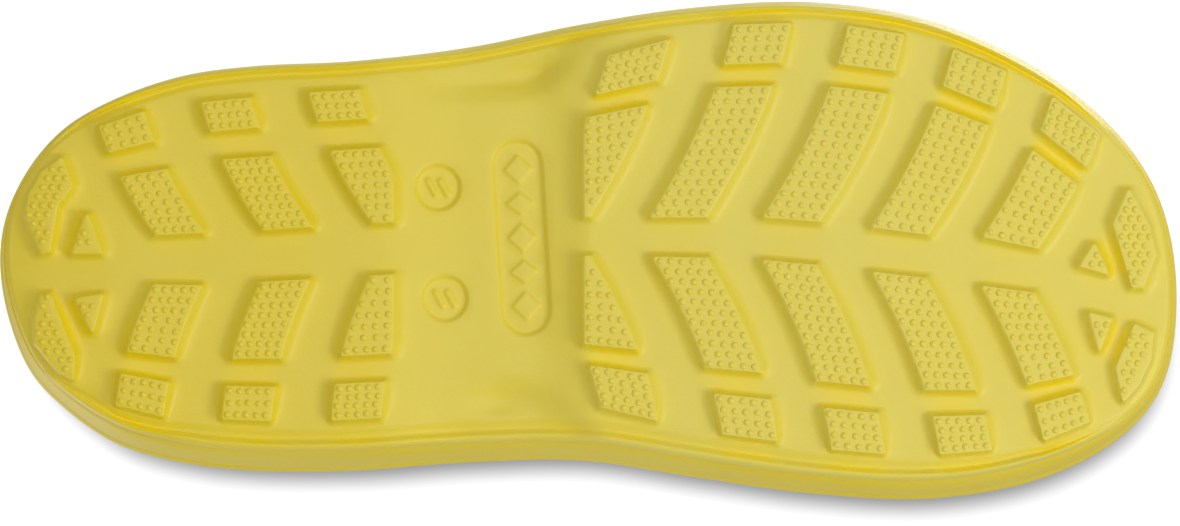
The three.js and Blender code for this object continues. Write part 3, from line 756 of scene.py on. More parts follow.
def tread_grid(border, keep_out):
    """A staggered grid of points clear of the rings, with the drop and dent at each."""
    long, wide = LENGTH / 2 - 2, WIDTH / 2
    grid_x, grid_y = np.meshgrid(np.arange(-long, long + 1, GRID), np.arange(-wide, wide + 1, GRID))
    grid_x = grid_x + GRID / 4 * (np.arange(grid_x.shape[0]) % 2)[:, None]
    grid = np.c_[grid_x.ravel(), grid_y.ravel()]
    grid = grid[inside(grid, border)]
    grid = grid[nearest(grid, border) > GRID_CLEAR]
    marks = np.tile((1.0, 0.0), (len(grid), 1))
    kept = np.ones(len(grid), bool)
    for points, outer, inner, drop, dent in keep_out:
        near = (np.abs(grid - points.mean(0)) < np.ptp(points, axis=0) / 2 + 6).all(1)
        where = np.nonzero(near)[0]
        if not len(where):
            continue
        within = inside(grid[where], points)
        close = nearest(grid[where], points) < np.where(within, inner, outer)
        kept[where[close]] = False
        marks[where[within]] = drop, dent
    return grid[kept], marks[kept]


def tread_surface():
    """The downward face of the outsole as points with heights, triangles and the boundary's indices."""
    border = edge(ROUND[:-1], lambda x, u: rim_at(x, u) + rim_reach(x, u), 0)[:, :2]
    rings, keep_out = tread_rings(border)
    grid, grid_marks = tread_grid(border, keep_out)
    flat = np.concatenate([*[points for points, _, _ in rings], grid])
    marks = [np.tile((float(drop), float(dent)), (len(points), 1)) for points, drop, dent in rings]
    marks = np.concatenate([*marks, grid_marks])
    edges, first = [], 0
    for points, _, _ in rings:
        loop = first + np.arange(len(points))
        edges += zip(loop.tolist(), np.roll(loop, -1).tolist())
        first += len(points)
    verts, _, faces, origins, _, _ = delaunay_2d_cdt(
        [Vector(p) for p in flat], edges, [list(range(len(border)))], 1, 1e-5
    )
    xy = np.array([tuple(v) for v in verts])
    drop, dent = marks[[origin[0] if origin else 0 for origin in origins]].T
    rim = np.full(len(border), -1)
    for i, origin in enumerate(origins):
        for k in origin:
            if k < len(border):
                rim[k] = i
        if not origin:
            near = np.argsort(((flat - xy[i]) ** 2).sum(1))[:2]
            drop[i], dent[i] = marks[near].mean(0)
    from_rim = rise(0.5, 6, nearest(xy, border))
    face = ground(xy[:, 0])
    base = tread_base(xy[:, 0], xy[:, 1], RIM_HOLLOW + (1 - RIM_HOLLOW) * from_rim)
    z = face + drop * (base - face) + dent * BADGE_DEPTH
    return np.c_[xy, z], [f[::-1] for f in faces], rim


# Rings of the rim: share of its breadth in from the edge, and lift off the tread's base.
RIM_RINGS = (
    (1.0, 0), (0.86, 0.1), (0.72, 0.42), (0.56, 0.8), (0.44, 0.72),
    (0.35, 0.2), (0.26, -0.35), (0.17, -0.55), (0.09, -0.42), (0.0, 0.15),
)
# Rings of the plate's side: distance in from the edge, and share of the way to the plate's top.
PLATE_RINGS = ((-0.2, 0.28), (-0.3, 0.5), (-0.25, 0.78), (0.15, 0.93), (EDGE_EASE, 1.0))
TIP_LIFT, TIP_POWER = 1.7, 2.4


def tread_rim():
    """Rings from the tread's base out over the rounded rim and up to the joint with the midsole."""
    rings = []
    for share, lift in RIM_RINGS:
        p = edge(ROUND, lambda x, u, s=share: rim_at(x, u) + s * rim_reach(x, u), 0)
        side = sideness(p[:, 0])
        tip = TIP_LIFT * (1 - share) ** TIP_POWER
        z = tread_base(p[:, 0], p[:, 1], RIM_HOLLOW) + lift * side + tip * (1 - side)
        rings.append(np.c_[p[:, :2], z])
    for inset, share in PLATE_RINGS:
        p = edge(ROUND, lambda x, u, i=inset: rim_at(x, u) + i, 0)
        low = tread_base(p[:, 0], p[:, 1], RIM_HOLLOW)
        rings.append(np.c_[p[:, :2], low + share * (plate_top(p[:, 0]) - low)])
    return np.array(rings)


def tread():
    points, faces, rim = tread_surface()
    rings = tread_rim()
    rings[0, :-1] = points[rim]
    rings[0, -1] = points[rim[0]]
    top = lid(plate_edge, lambda x, y, s: plate_top(x))
    return sew("tread", [rings, top], (points, faces), 50)


# ---- nubs and dots ---------------------------------------------------------------------------------
def scatter_tree():
    """Stands a small dome on every point. Sizes come in as inputs."""
    tree = bpy.data.node_groups.new("stand_domes", "GeometryNodeTree")
    tree.is_modifier = True
    for name, kind in (("Points", "Geometry"), ("Radius", "Float"), ("Height", "Float"),
                       ("Spread", "Float"), ("Seed", "Int"), ("Finish", "Material")):
        tree.interface.new_socket(name, in_out="INPUT", socket_type="NodeSocket" + kind)
    tree.interface.new_socket("Domes", in_out="OUTPUT", socket_type="NodeSocketGeometry")
    new = tree.nodes.new
    given, result = new("NodeGroupInput"), new("NodeGroupOutput")
    dome, shape = new("GeometryNodeMeshUVSphere"), new("ShaderNodeCombineXYZ")
    press, stand = new("GeometryNodeTransform"), new("GeometryNodeInstanceOnPoints")
    vary, low, high = new("FunctionNodeRandomValue"), new("ShaderNodeMath"), new("ShaderNodeMath")
    real, shade = new("GeometryNodeRealizeInstances"), new("GeometryNodeSetShadeSmooth")
    paint = new("GeometryNodeSetMaterial")
    dome.inputs["Segments"].default_value = 8
    dome.inputs["Rings"].default_value = 5
    low.operation, high.operation = "SUBTRACT", "ADD"
    low.inputs[0].default_value = high.inputs[0].default_value = 1
    shape.inputs["X"].default_value = shape.inputs["Y"].default_value = 1
    link = tree.links.new
    link(given.outputs["Radius"], dome.inputs["Radius"])
    link(given.outputs["Height"], shape.inputs["Z"])
    link(dome.outputs["Mesh"], press.inputs["Geometry"])
    link(shape.outputs[0], press.inputs["Scale"])
    link(given.outputs["Spread"], low.inputs[1])
    link(given.outputs["Spread"], high.inputs[1])
    link(low.outputs[0], vary.inputs[2])
    link(high.outputs[0], vary.inputs[3])
    link(given.outputs["Seed"], vary.inputs["Seed"])
    link(given.outputs["Points"], stand.inputs["Points"])
    link(press.outputs[0], stand.inputs["Instance"])
    link(vary.outputs[1], stand.inputs["Scale"])
    link(stand.outputs[0], real.inputs[0])
    link(real.outputs[0], shade.inputs[0])
    link(shade.outputs[0], paint.inputs[0])
    link(given.outputs["Finish"], paint.inputs["Material"])
    link(paint.outputs[0], result.inputs[0])
    return tree


DOME_TREE = scatter_tree()


def domes(name, points, radius, height, spread, seed, finish):
    """A plain mesh of domes on the points, made by the tree."""
    seeds = bpy.data.meshes.new(name + "_points")
    seeds.from_pydata((np.asarray(points) * MM).tolist(), [], [])
    holder = in_scene(name + "_points", seeds)
    change = holder.modifiers.new("domes", "NODES")
    change.node_group = DOME_TREE
    sizes = {
        "Radius": radius * MM, "Height": height / radius, "Spread": spread, "Seed": seed, "Finish": finish,
    }
    for item in DOME_TREE.interface.items_tree:
        if item.in_out == "INPUT" and item.name in sizes:
            change[item.identifier] = sizes[item.name]
    ready = holder.evaluated_get(bpy.context.evaluated_depsgraph_get())
    mesh = bpy.data.meshes.new_from_object(ready)
    mesh.name = name
    bpy.data.objects.remove(holder)
    return mesh


NUB_RADIUS, NUB_HEIGHT, NUB_SINK = 0.76, 0.46, 0.08
NUB_PITCHES = {1: (2.5, 2.15), -1: (2.4, 2.15)}  # along a long and a short lug, by the way of its zone
NUB_STEPS = 24
NUB_ENDS, NUB_END = 2.2, 1.15
NUB_MARGIN, NUB_ROW = 1.2, 2.3
NUB_SHIFT, NUB_DRIFT = 0.15, 0.1
NARROW = 3
END_MARGIN, END_ROW, END_PITCH, END_CLEAR = 0.8, 1.95, 2.0, 0.62


def point_on(line, share):
    """The point of a line of even steps at a share of the way."""
    spot = share * (len(line) - 1)
    return np.array([np.interp(spot, np.arange(len(line)), line[:, c]) for c in (0, 1)])


def nub_places():
    """Nubs stand in staggered rows that follow each arm, and in a close grid on the end lugs."""
    chance = random.Random(7)
    found = []
    for zone in ZONES:
        for start, *rows in zip(zone["starts"], zone["long"], zone["short"]):
            for row, pitch in zip(rows, NUB_PITCHES[zone["way"]]):
                near, far = arm_edges(zone, start, row, NUB_STEPS)
                length = np.linalg.norm(np.diff((near + far) / 2, axis=0), axis=1).sum()
                count = max(int(round((length - NUB_ENDS) / pitch)) + 1, 3)
                margin = NUB_END / length
                for k in range(count):
                    share = margin + (1 - 2 * margin) * k / (count - 1)
                    a, b = point_on(near, share), point_on(far, share)
                    wide = np.linalg.norm(b - a)
                    if wide < NARROW:
                        continue
                    columns = int(round((wide - 2 * NUB_MARGIN) / NUB_ROW)) + 1
                    shift = NUB_SHIFT if k % 2 else -NUB_SHIFT
                    spots = [wide / 2]
                    if columns > 1:
                        spots = np.linspace(NUB_MARGIN, wide - NUB_MARGIN, columns)
                    for spot in spots:
                        drift = [chance.uniform(-NUB_DRIFT, NUB_DRIFT) for _ in range(2)]
                        found.append(a + (b - a) * (spot + shift) / wide + drift)
    for polygon in lug_outlines()[-len(END_LUGS):]:
        low, high = polygon.min(0), polygon.max(0)
        wall = rounded(polygon, 0.3, 0.5)[0]
        for r, y in enumerate(np.arange(low[1] + END_MARGIN, high[1], END_ROW)):
            for x in np.arange(low[0] + END_MARGIN + (r % 2) * END_PITCH / 2, high[0], END_PITCH):
                p = np.array([[x, y]])
                if inside(p, polygon)[0] and nearest(p, wall)[0] > END_CLEAR:
                    found.append(p[0])
    found = np.array(found)
    return np.c_[found, ground(found[:, 0]) + NUB_SINK]


# ---- midsole ---------------------------------------------------------------------------------------
PLATFORM_EASE = 2.4
# Rings of the platform: level, share of the tread's inset, and distance in from that.
PLATFORM_RINGS = (
    (0.0, 1.0, EDGE_EASE), (0.03, 1.0, 0.2), (0.075, 0.85, -0.1), (0.16, 0.62, 0.0), (0.3, 0.36, 0.25),
    (0.45, 0.15, 0.55), (0.6, 0.04, 0.62), (0.74, 0.0, 0.6), (0.86, 0.0, 0.7), (0.93, 0.0, 1.0),
    (0.975, 0.0, 1.6), (1.0, 0.0, PLATFORM_EASE),
)


def platform():
    """The thick platform, from the groove over the tread's rim up to the groove under the foxing."""
    rings = []
    for level, share, more in PLATFORM_RINGS:
        rings.append(edge(
            ROUND,
            lambda x, u, s=share, m=more: rim_at(x, u) * s + m,
            lambda x, k=level: midsole_floor(x) * (1 - k) + midsole_top(x) * k,
        ))
    under = lid(plate_edge, lambda x, y, s: midsole_floor(x))
    over = lid(PLATFORM_EASE, lambda x, y, s: midsole_top(x))
    return sew("platform", [np.array(rings), under, over], None, 50)


# ---- upper -----------------------------------------------------------------------------------------
ROLL = 1.6  # the mouth's rounded lip rises this far over its walls
ROLL_POWER = 0.8
LEAST_ARCH = 3
CLIMB = 2.6  # stations over which the mouth's rim climbs to the ridge


def arch_sizes(x, inset):
    """Height of the arch over its floor and its shape's power, at x."""
    return ridge(x) - inset - upper_floor(x), 2 / fullness(x)


def arch_turn(x, height, inset=0):
    """The turn up an arch at which it stands at this height."""
    tall, power = arch_sizes(x, inset)
    share = np.clip((height - upper_floor(x)) / tall, 0, 1)
    return np.arcsin(share ** (1 / power))


def arch_point(u, turn, inset):
    """Points of the dome at station u, a turn up from the outer (first row) and the inner side."""
    base = [edge(s, lambda x, u: ledge(x) + inset, upper_floor) for s in (u, SPANS - u)]
    x = (base[0][:, 0] + base[1][:, 0]) / 2
    tall, power = arch_sizes(x, inset)
    tall = np.maximum(tall, LEAST_ARCH)
    reach = np.cos(turn) ** power[:, None]
    up = np.sin(turn) ** power[:, None]
    rows = []
    for a, b in (base, base[::-1]):
        share = ((1 - reach) / 2)[..., None]
        p = a[:, None] * (1 - share) + b[:, None] * share
        p[..., 2] += tall[:, None] * up
        rows.append(p)
    return rows


def shell_stations():
    """Stations close together where the mouth's rim climbs to the ridge, and the one where it meets it."""
    u = np.linspace(0, HALF, 4000)
    x = (outline(u)[:, 0] + outline(SPANS - u)[:, 0]) / 2
    throat = u[np.argmax((mouth_line(x) - ROLL >= ridge(x)) & (x > along(0.4)))]
    before = np.linspace(0, throat - CLIMB, 62)[:-1]
    close = throat - CLIMB * (1 - np.linspace(0, 1, 46)) ** 2.2
    after = throat + (HALF - throat) * np.linspace(0, 1, 64)[1:] ** 1.15
    return np.concatenate([before, close, after]), len(before) + len(close) - 1


ARCH_ROWS = 28
# Rings of the foxing: inset from the outline, and share of its height.
FOXING_RINGS = ((0.8, 0), (0.25, 0.12), (0.0, 0.3), (0.05, 0.52), (0.4, 0.74), (1.1, 0.92), (2.1, 1.0))
FOXING_TOP = FOXING_RINGS[-1][0]
COVE_HEIGHT, COVE_SHARE, COVE_BACK = 1.5, 0.16, 2.3


def foxing_rows(u):
    """The foxing band round the foot of the shell, with a cove up to the wall."""
    def cove(x, t):
        wall = ridge(x) - upper_floor(x) - FOXING_HEIGHT
        return upper_floor(x) + FOXING_HEIGHT + np.minimum(COVE_HEIGHT, COVE_SHARE * wall) * t ** 3

    rows = []
    for inset, share in FOXING_RINGS:
        rows.append(edge(u, inset, lambda x, s=share: upper_floor(x) + FOXING_HEIGHT * s))
    for t in (0.3, 0.6, 0.82, 0.95):
        rows.append(edge(
            u, lambda x, u, t=t: FOXING_TOP + t * (ledge(x) - COVE_BACK), lambda x, t=t: cove(x, t),
        ))
    return rows


def shell_skin():
    u, throat = shell_stations()
    x = (outline(u)[:, 0] + outline(SPANS - u)[:, 0]) / 2
    top = arch_turn(x, mouth_line(x) - ROLL)
    top[throat:] = math.pi / 2
    tall, _ = arch_sizes(x, 0)
    start = arch_turn(x, upper_floor(x) + np.minimum(FOXING_HEIGHT + 2.4, 0.9 * tall))
    share = np.linspace(0, 1, ARCH_ROWS + 1)
    outer_turn = start[:, None] + (top - start)[:, None] * share
    inner_turn = top[:, None] * share
    outer, inner = arch_point(u, outer_turn, 0), arch_point(u, inner_turn, WALL)
    patches = []
    for k, stations in enumerate((u, SPANS - u)):
        foot = np.stack(foxing_rows(stations), 1)
        patches += [np.concatenate([foot, outer[k]], 1), inner[k]]
        patches.append(np.stack([foot[:, 0], inner[k][:, 0]], 1))
    patches += lip(outer, inner, throat)
    return sew("shell", patches, None, 38)


def lip(outer, inner, throat):
    """The rounded edge of the mouth, between the walls' upper edges."""
    outside = np.concatenate([outer[0][throat::-1, -1], outer[1][1:throat, -1]])
    inside_edge = np.concatenate([inner[0][throat::-1, -1], inner[1][1:throat, -1]])
    middle, half = (outside + inside_edge) / 2, (outside - inside_edge) / 2
    way = np.roll(middle, -1, axis=0) - np.roll(middle, 1, axis=0)
    up = np.cross(way, half)
    up /= np.linalg.norm(up, axis=1)[:, None]
    over_mouth = np.array([along(0.3), across(0), 95.0])
    up *= np.sign((up * (over_mouth - middle)).sum(1))[:, None]
    turn = np.linspace(0, math.pi, 11)[:, None, None]
    c, s = np.cos(turn), np.sin(turn)
    grid = middle + half * np.sign(c) * abs(c) ** ROLL_POWER + up * ROLL * s ** ROLL_POWER
    grid[0], grid[-1] = outside, inside_edge
    return [np.concatenate([grid, grid[:, :1]], 1)]


DOME_SIDES = side_lines(ledge)


def dome_sides(x):
    return (float(line(x)) for line in DOME_SIDES)


def dome_height(x, y):
    """Height of the upper's outer face over a point in plan."""
    outer, inner = dome_sides(x)
    reach = min(abs(1 - 2 * (y - outer) / (inner - outer)), 0.999)
    tall, power = arch_sizes(x, 0)
    cosine = reach ** (1 / power)
    return float(upper_floor(x) + tall * math.sqrt(1 - cosine * cosine) ** power)


def slopes(value, a, b):
    """How fast a value of two coordinates changes with each."""
    return (value(a + 1, b) - value(a - 1, b)) / 2, (value(a, b + 1) - value(a, b - 1)) / 2

def hole_tool(centre, out, length_way, polygon, depths):
    """A cutter on a line through the wall: rings of a flat shape, wider where they leave the wall."""
    out = Vector(out).normalized()
    side = out.cross(Vector(length_way)).normalized()
    forward = side.cross(out)
    turn = np.array([side, forward, out])
    points, outs = rounded(polygon, 0.01, 1.2)
    rings = []
    for depth, wider in depths:
        flat = points + outs * wider
        rings.append(np.c_[flat, np.full(len(flat), depth)] @ turn + np.array(centre))
    rings = np.array(rings)
    rings = np.concatenate([rings, rings[:, :1]], 1)
    middle = [np.stack([r, np.repeat(r[:-1].mean(0)[None], len(r), 0)]) for r in (rings[0], rings[-1])]
    return sew("tool", [rings, *middle], None, 60)


# Rings of a cutter: distance out of the wall, and how much wider it is there.
VENT_RINGS = ((6, 2.6), (0.55, 1.25), (0.1, 0.72), (-0.3, 0.32), (-0.9, 0.05), (-1.5, 0), (-WALL - 3, 0))
DRAIN_RINGS = ((5, 1.6), (0.4, 0.9), (0.05, 0.5), (-0.3, 0.2), (-0.8, 0), (-WALL - 4, 0))
VENT_FANS = ((0.81, 0.14, 5), (0.7, 0.15, 4))  # place along the clog, lean from slot to slot, slots
VENT_BACK, VENT_SPREAD, VENT_MIDDLE = 26, 0.9, -0.02
DRAIN_PLACES, DRAIN_RISE = (0.56, 0.63, 0.7), 10


def vent_tools():
    """Two staggered fans of slots over the toes."""
    slot = stadium(0, 0, SLOT_LENGTH, SLOT_WIDTH, 0, 8)
    tools = []
    for share, spread, count in VENT_FANS:
        for k in range(count):
            lean = (k - (count - 1) / 2) * spread
            x = along(share) - abs(lean) * VENT_BACK
            y = across(VENT_MIDDLE) + lean * WIDTH * VENT_SPREAD
            slope_x, slope_y = slopes(dome_height, x, y)
            way = (math.cos(lean), math.sin(lean), slope_x * math.cos(lean) + slope_y * math.sin(lean))
            centre = (x, y, dome_height(x, y))
            tools.append(hole_tool(centre, (-slope_x, -slope_y, 1), way, slot, VENT_RINGS))
    return tools


def wall_place(x, z, side):
    """A point of the upper's outer face at a height, and the way out of it."""
    def wall_y(x, z):
        outer, inner = dome_sides(x)
        tall, power = arch_sizes(x, 0)
        share = (z - float(upper_floor(x))) / float(tall)
        reach = (1 - share ** (2 / power)) ** (power / 2)
        return (outer + inner) / 2 + side * reach * (inner - outer) / 2

    slope_x, slope_z = slopes(wall_y, x, z)
    return (x, wall_y(x, z), z), (-slope_x * side, side, -slope_z * side)


def drain_tools():
    """Three round holes low on each side."""
    circle = disc(0, 0, DRAIN_RADIUS, 9)
    tools = []
    for x in map(along, DRAIN_PLACES):
        for side in (-1, 1):
            centre, out = wall_place(x, float(upper_floor(x)) + FOXING_HEIGHT + DRAIN_RISE, side)
            tools.append(hole_tool(centre, out, (1, 0, 0), circle, DRAIN_RINGS))
    return tools


# ---- turned pieces on the rivets' axis --------------------------------------------------------------
def box_of(node):
    low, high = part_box(node)
    return np.array(low) / MM, np.array(high) / MM


PIVOT_Y = (box_of("outer_rivet")[0][1] + box_of("inner_rivet")[1][1]) / 2
WASHER_LOW, WASHER_HIGH = (box_of("inner_washer")[k][1] - PIVOT_Y for k in (0, 1))
BOSS_FACE = WASHER_LOW - GAP
STRAP_FACE = WASHER_HIGH + GAP
BOSS_SEAT = box_of("inner_rivet_cap")[1][1] - PIVOT_Y + GAP


def turned(name, profile, side, segments=56):
    """A closed turned piece. The profile gives radius and distance from the middle plane."""
    turn = np.linspace(0, 2 * math.pi, segments + 1)
    rings = []
    for radius, out in profile:
        ring = np.c_[
            PIVOT_X + radius * np.cos(turn), np.full(segments + 1, PIVOT_Y + side * out),
            PIVOT_Z + radius * np.sin(turn),
        ]
        rings.append(ring)
    return sew(name, [np.array(rings)], None, 38)


# A rivet's head from its edge to its middle: share of its radius, and share of its height.
HEAD_RINGS = (
    (1.0, 0.0), (1.0, 0.22), (0.985, 0.42), (0.94, 0.62), (0.88, 0.78),
    (0.8, 0.9), (0.74, 0.95), (0.68, 0.92), (0.63, 0.8), (0.58, 0.7),
    (0.5, 0.68), (0.42, 0.72), (0.3, 0.84), (0.18, 0.92), (0.0, 0.95),
)
# A snap cap from its middle to its edge: share of its radius, and share of its height.
CAP_RINGS = ((0.3, 1.0), (0.62, 0.97), (0.82, 0.8), (0.94, 0.5), (1.0, 0.2))
SNAP_DEPTH = CAP_HEIGHT * 0.55
HEAD_LIP = 0.12
PAST_WALL, PAST_STRAP = 4, 2  # the bores' cutters reach this far past what they cut


def rivet(side):
    """A pressed head with a dished middle and a raised ring, on its shank."""
    seat = STRAP_FACE + STRAP + GAP
    tip = BOSS_SEAT - GAP - SNAP_DEPTH
    profile = [(0, tip), (SHANK_RADIUS - 0.4, tip), (SHANK_RADIUS, tip + 0.5), (SHANK_RADIUS, seat - 0.2),
               (HEAD_RADIUS - 0.4, seat)]
    profile += [(HEAD_RADIUS * r, seat + HEAD_LIP + (HEAD_HEIGHT - HEAD_LIP) * h) for r, h in HEAD_RINGS]
    return turned("rivet", profile, side)


def rivet_cap(side):
    """The domed snap cap inside the shoe, hollow where the shank enters it."""
    seat = BOSS_SEAT - GAP
    bottom = seat - SNAP_DEPTH - GAP
    profile = [(0, seat - CAP_HEIGHT)]
    profile += [(CAP_RADIUS * r, seat - CAP_HEIGHT * h) for r, h in CAP_RINGS]
    profile += [(CAP_RADIUS, seat - 0.1), (CAP_RADIUS - 0.25, seat)]
    profile += [(BORE, seat), (BORE, bottom), (0, bottom)]
    return turned("rivet_cap", profile, side)


def washer(side, ease=0.2):
    low, high = WASHER_LOW, WASHER_HIGH
    profile = [(BORE, low), (WASHER_RADIUS - ease, low), (WASHER_RADIUS, low + ease),
               (WASHER_RADIUS, high - ease), (WASHER_RADIUS - ease, high), (BORE, high), (BORE, low)]
    return turned("washer", profile, side)


def boss(side):
    """The flat round pad of the upper at a rivet, its edge eased down to the wall."""
    low, high = BOSS_SEAT, BOSS_FACE
    profile = [(0, low), (BOSS_RADIUS - 1.2, low), (BOSS_RADIUS - 0.4, low + 0.3), (BOSS_RADIUS, low + 1.2),
               (BOSS_RADIUS + 0.6, high - 1.9), (BOSS_RADIUS + 0.25, high - 0.9),
               (BOSS_RADIUS - 0.1, high - 0.35), (BOSS_RADIUS - 0.6, high - 0.06),
               (BOSS_RADIUS - 1.0, high), (0, high)]
    return turned("boss", profile, side, 48)


def bore_tool(low, high, side):
    """A cutter for the shank's bore, between two distances from the middle plane."""
    return turned("tool", [(0, low), (BORE, low), (BORE, high), (0, high)], side, 32)


def shell():
    body = carved(shell_skin(), [boss(side) for side in (-1, 1)], "UNION", 38)
    cutters = vent_tools() + drain_tools()
    cutters += [bore_tool(BOSS_SEAT - PAST_WALL, BOSS_FACE + PAST_WALL, side) for side in (-1, 1)]
    return carved(body, cutters, "DIFFERENCE", 38)


# ---- footbed ---------------------------------------------------------------------------------------
footbed_lip = lengthwise((0, FOOTBED_LIP), (0.5, FOOTBED_LIP), (0.85, 0))
# Rings of the insole: distance in from the shell's wall, and share of its thickness.
INSOLE_RINGS = (
    (0.7, 0.0), (0.35, 0.04), (0.3, 0.12), (0.55, 0.35), (1.0, 0.6), (1.4, 0.82), (1.9, 0.95), (2.5, 1.0),
)
HEEL_CUP, ARCH_RISE = 0.7, 0.9
DOT_PITCH, DOT_MARGIN = 4.6, 5.5
DOT_ENDS, DOTLESS = (0.06, 0.95), (0.36, 0.47)
DOT_RADIUS, DOT_HEIGHT = 1.2, 0.75


def footbed_floor(x):
    return midsole_top(x) + GAP


def footbed_top(x, y, share):
    """The dished top: higher along its edge, with a cup under the heel and a rise under the arch."""
    reach = abs(2 * share - 1)
    cup = -HEEL_CUP * rise(0.0, 1.0, 1 - reach) * (1 - rise(-90, -60, x))
    arch = ARCH_RISE * rise(0.55, 0.95, share) * (1 - rise(0.95, 1.0, share))
    arch = arch * rise(-55, -25, x) * (1 - rise(0, 30, x))
    return footbed_floor(x) + FOOTBED + footbed_lip(x) * reach ** 3 + cup + arch


def clear_of_wall(more):
    """Inset of a line inside the shell, so far from its wall."""
    return lambda x, u: ledge(x) + WALL + GAP + more


def insole():
    def level(share):
        return lambda x: footbed_floor(x) + (FOOTBED + footbed_lip(x)) * share

    rings = np.array([edge(ROUND, clear_of_wall(more), level(share)) for more, share in INSOLE_RINGS])
    over = lid(clear_of_wall(INSOLE_RINGS[-1][0]), footbed_top, 36)
    under = lid(clear_of_wall(INSOLE_RINGS[0][0]), lambda x, y, s: footbed_floor(x))
    return sew("insole", [rings, over, under], None, 50)


FOOTBED_SIDES = side_lines(clear_of_wall(INSOLE_RINGS[-1][0]))


def dot_places():
    """Massage dots in staggered rows under the heel and the ball."""
    found = []
    outer, inner = side_lines(clear_of_wall(DOT_MARGIN))
    half = WIDTH / 2 - 4
    for r, x in enumerate(np.arange(*map(along, DOT_ENDS), DOT_PITCH)):
        low, high = float(outer(x)), float(inner(x))
        left, right = (float(line(x)) for line in FOOTBED_SIDES)
        for y in np.arange(-half + (r % 2) * DOT_PITCH / 2, half, DOT_PITCH):
            if low < y < high and not (along(DOTLESS[0]) < x < along(DOTLESS[1])):
                found.append((x, y, float(footbed_top(x, y, (y - left) / (right - left)))))
    return found


# ---- strap -----------------------------------------------------------------------------------------
STRAP_STRAIGHT = 22
STRAP_POWER = 2.3  # of the curve round the heel, where 2 would be an ellipse
STRAP_EASE = 1.2
PANEL_DEPTH, PANEL_EDGE = 0.5, (2.4, 3.3)
PANEL_ENDS = (HEAD_RADIUS + 1.6, HEAD_RADIUS + 3)


def strap_line():
    """The strap's middle line in plan, from past one rivet, round the heel, to past the other."""
    breadth = STRAP_FACE + STRAP / 2
    straight, rear = PIVOT_X - STRAP_STRAIGHT, along(0) + STRAP_INSET
    turn = np.linspace(0, math.pi, 400)
    c, s = np.cos(turn), np.sin(turn)
    x = straight - (straight - rear) * s ** (2 / STRAP_POWER)
    y = PIVOT_Y - breadth * np.sign(c) * abs(c) ** (2 / STRAP_POWER)
    x = np.r_[PIVOT_X + STRAP_END, PIVOT_X, x, PIVOT_X, PIVOT_X + STRAP_END]
    y = np.r_[PIVOT_Y - breadth, PIVOT_Y - breadth, y, PIVOT_Y + breadth, PIVOT_Y + breadth]
    return np.c_[x, y]


def strap_mesh():
    """A flexible band with round ends, eased edges and a panel sunk into its outer face."""
    line = strap_line()
    far = np.r_[0, np.cumsum(np.linalg.norm(np.diff(line, axis=0), axis=1))] - STRAP_END
    total = far[-1] - STRAP_END
    lead = -STRAP_END * np.sin(np.linspace(math.pi / 2, 0, 14))[:-1]
    run = np.r_[lead, np.linspace(0, total, 150), total - lead[::-1]]

    def spot_at(run):
        return np.c_[np.interp(run, far, line[:, 0]), np.interp(run, far, line[:, 1])]

    spot = spot_at(run)
    way = spot_at(run + 0.8) - spot_at(run - 0.8)
    way /= np.linalg.norm(way, axis=1)[:, None]
    out = np.c_[way[:, 1], -way[:, 0]]
    share = np.clip((PIVOT_X - spot[:, 0]) / (PIVOT_X - along(0) - STRAP_INSET), 0, 1)
    past = np.maximum(np.maximum(-run, run - total), 0)
    half = STRAP_END * (1 - share) + STRAP_BACK * share
    half = np.where(past > 0, np.sqrt(np.maximum(STRAP_END ** 2 - past ** 2, 0)), half)
    middle = PIVOT_Z + STRAP_RISE * share
    h = half[:, None] * np.sin(np.linspace(-math.pi / 2, math.pi / 2, 27))[None]
    deep = np.where(past[:, None] > 0, STRAP_END - np.hypot(past[:, None], h), half[:, None] - abs(h))
    ease = np.clip(deep / STRAP_EASE, 0, 1)
    thick = STRAP / 2 * np.sqrt(1 - (1 - ease) ** 2)
    from_rivet = np.hypot(np.minimum(abs(run), abs(run - total))[:, None], h)
    panel = PANEL_DEPTH * rise(*PANEL_EDGE, deep) * rise(*PANEL_ENDS, from_rivet)
    sheets = []
    for face in (thick - panel, -thick):
        grid = np.empty((*h.shape, 3))
        grid[..., :2] = spot[:, None] + out[:, None] * face[..., None]
        grid[..., 2] = middle[:, None] + h
        sheets.append(grid)
    band = sew("strap", sheets, None, 38)
    low, high = STRAP_FACE - PAST_STRAP, STRAP_FACE + STRAP + PAST_STRAP
    return carved(band, [bore_tool(low, high, side) for side in (-1, 1)], "DIFFERENCE", 38)


# ---- assembly --------------------------------------------------------------------------------------
place("tread", tread(), TREAD_FOAM, "outsole", "clog", "outsole")
place("tread_nubs", domes("tread_nubs", nub_places(), NUB_RADIUS, NUB_HEIGHT, 0.07, 3, TREAD_FOAM),
      TREAD_FOAM, "outsole", "clog")
place("platform", platform(), SHELL_FOAM, "midsole", "clog", "midsole")
place("shell", shell(), SHELL_FOAM, "upper", "clog", "upper")
cushion = place("insole", insole(), INSOLE_FOAM, "footbed", "clog", "footbed")
place("insole_dots", domes("insole_dots", dot_places(), DOT_RADIUS, DOT_HEIGHT, 0.05, 5, INSOLE_FOAM),
      INSOLE_FOAM, "footbed", "clog")
place("strap", strap_mesh(), SHELL_FOAM, "strap", "strap", "heel_strap")
for side, name in ((-1, "outer"), (1, "inner")):
    place(f"{name}_rivet_pin", rivet(side), RIVET_PLASTIC, "rivet", "clog", f"{name}_rivet")
    place(f"{name}_snap_cap", rivet_cap(side), RIVET_PLASTIC, "rivet", "clog", f"{name}_rivet_cap")
    place(f"{name}_spacer", washer(side), RIVET_PLASTIC, "washer", "clog", f"{name}_washer")


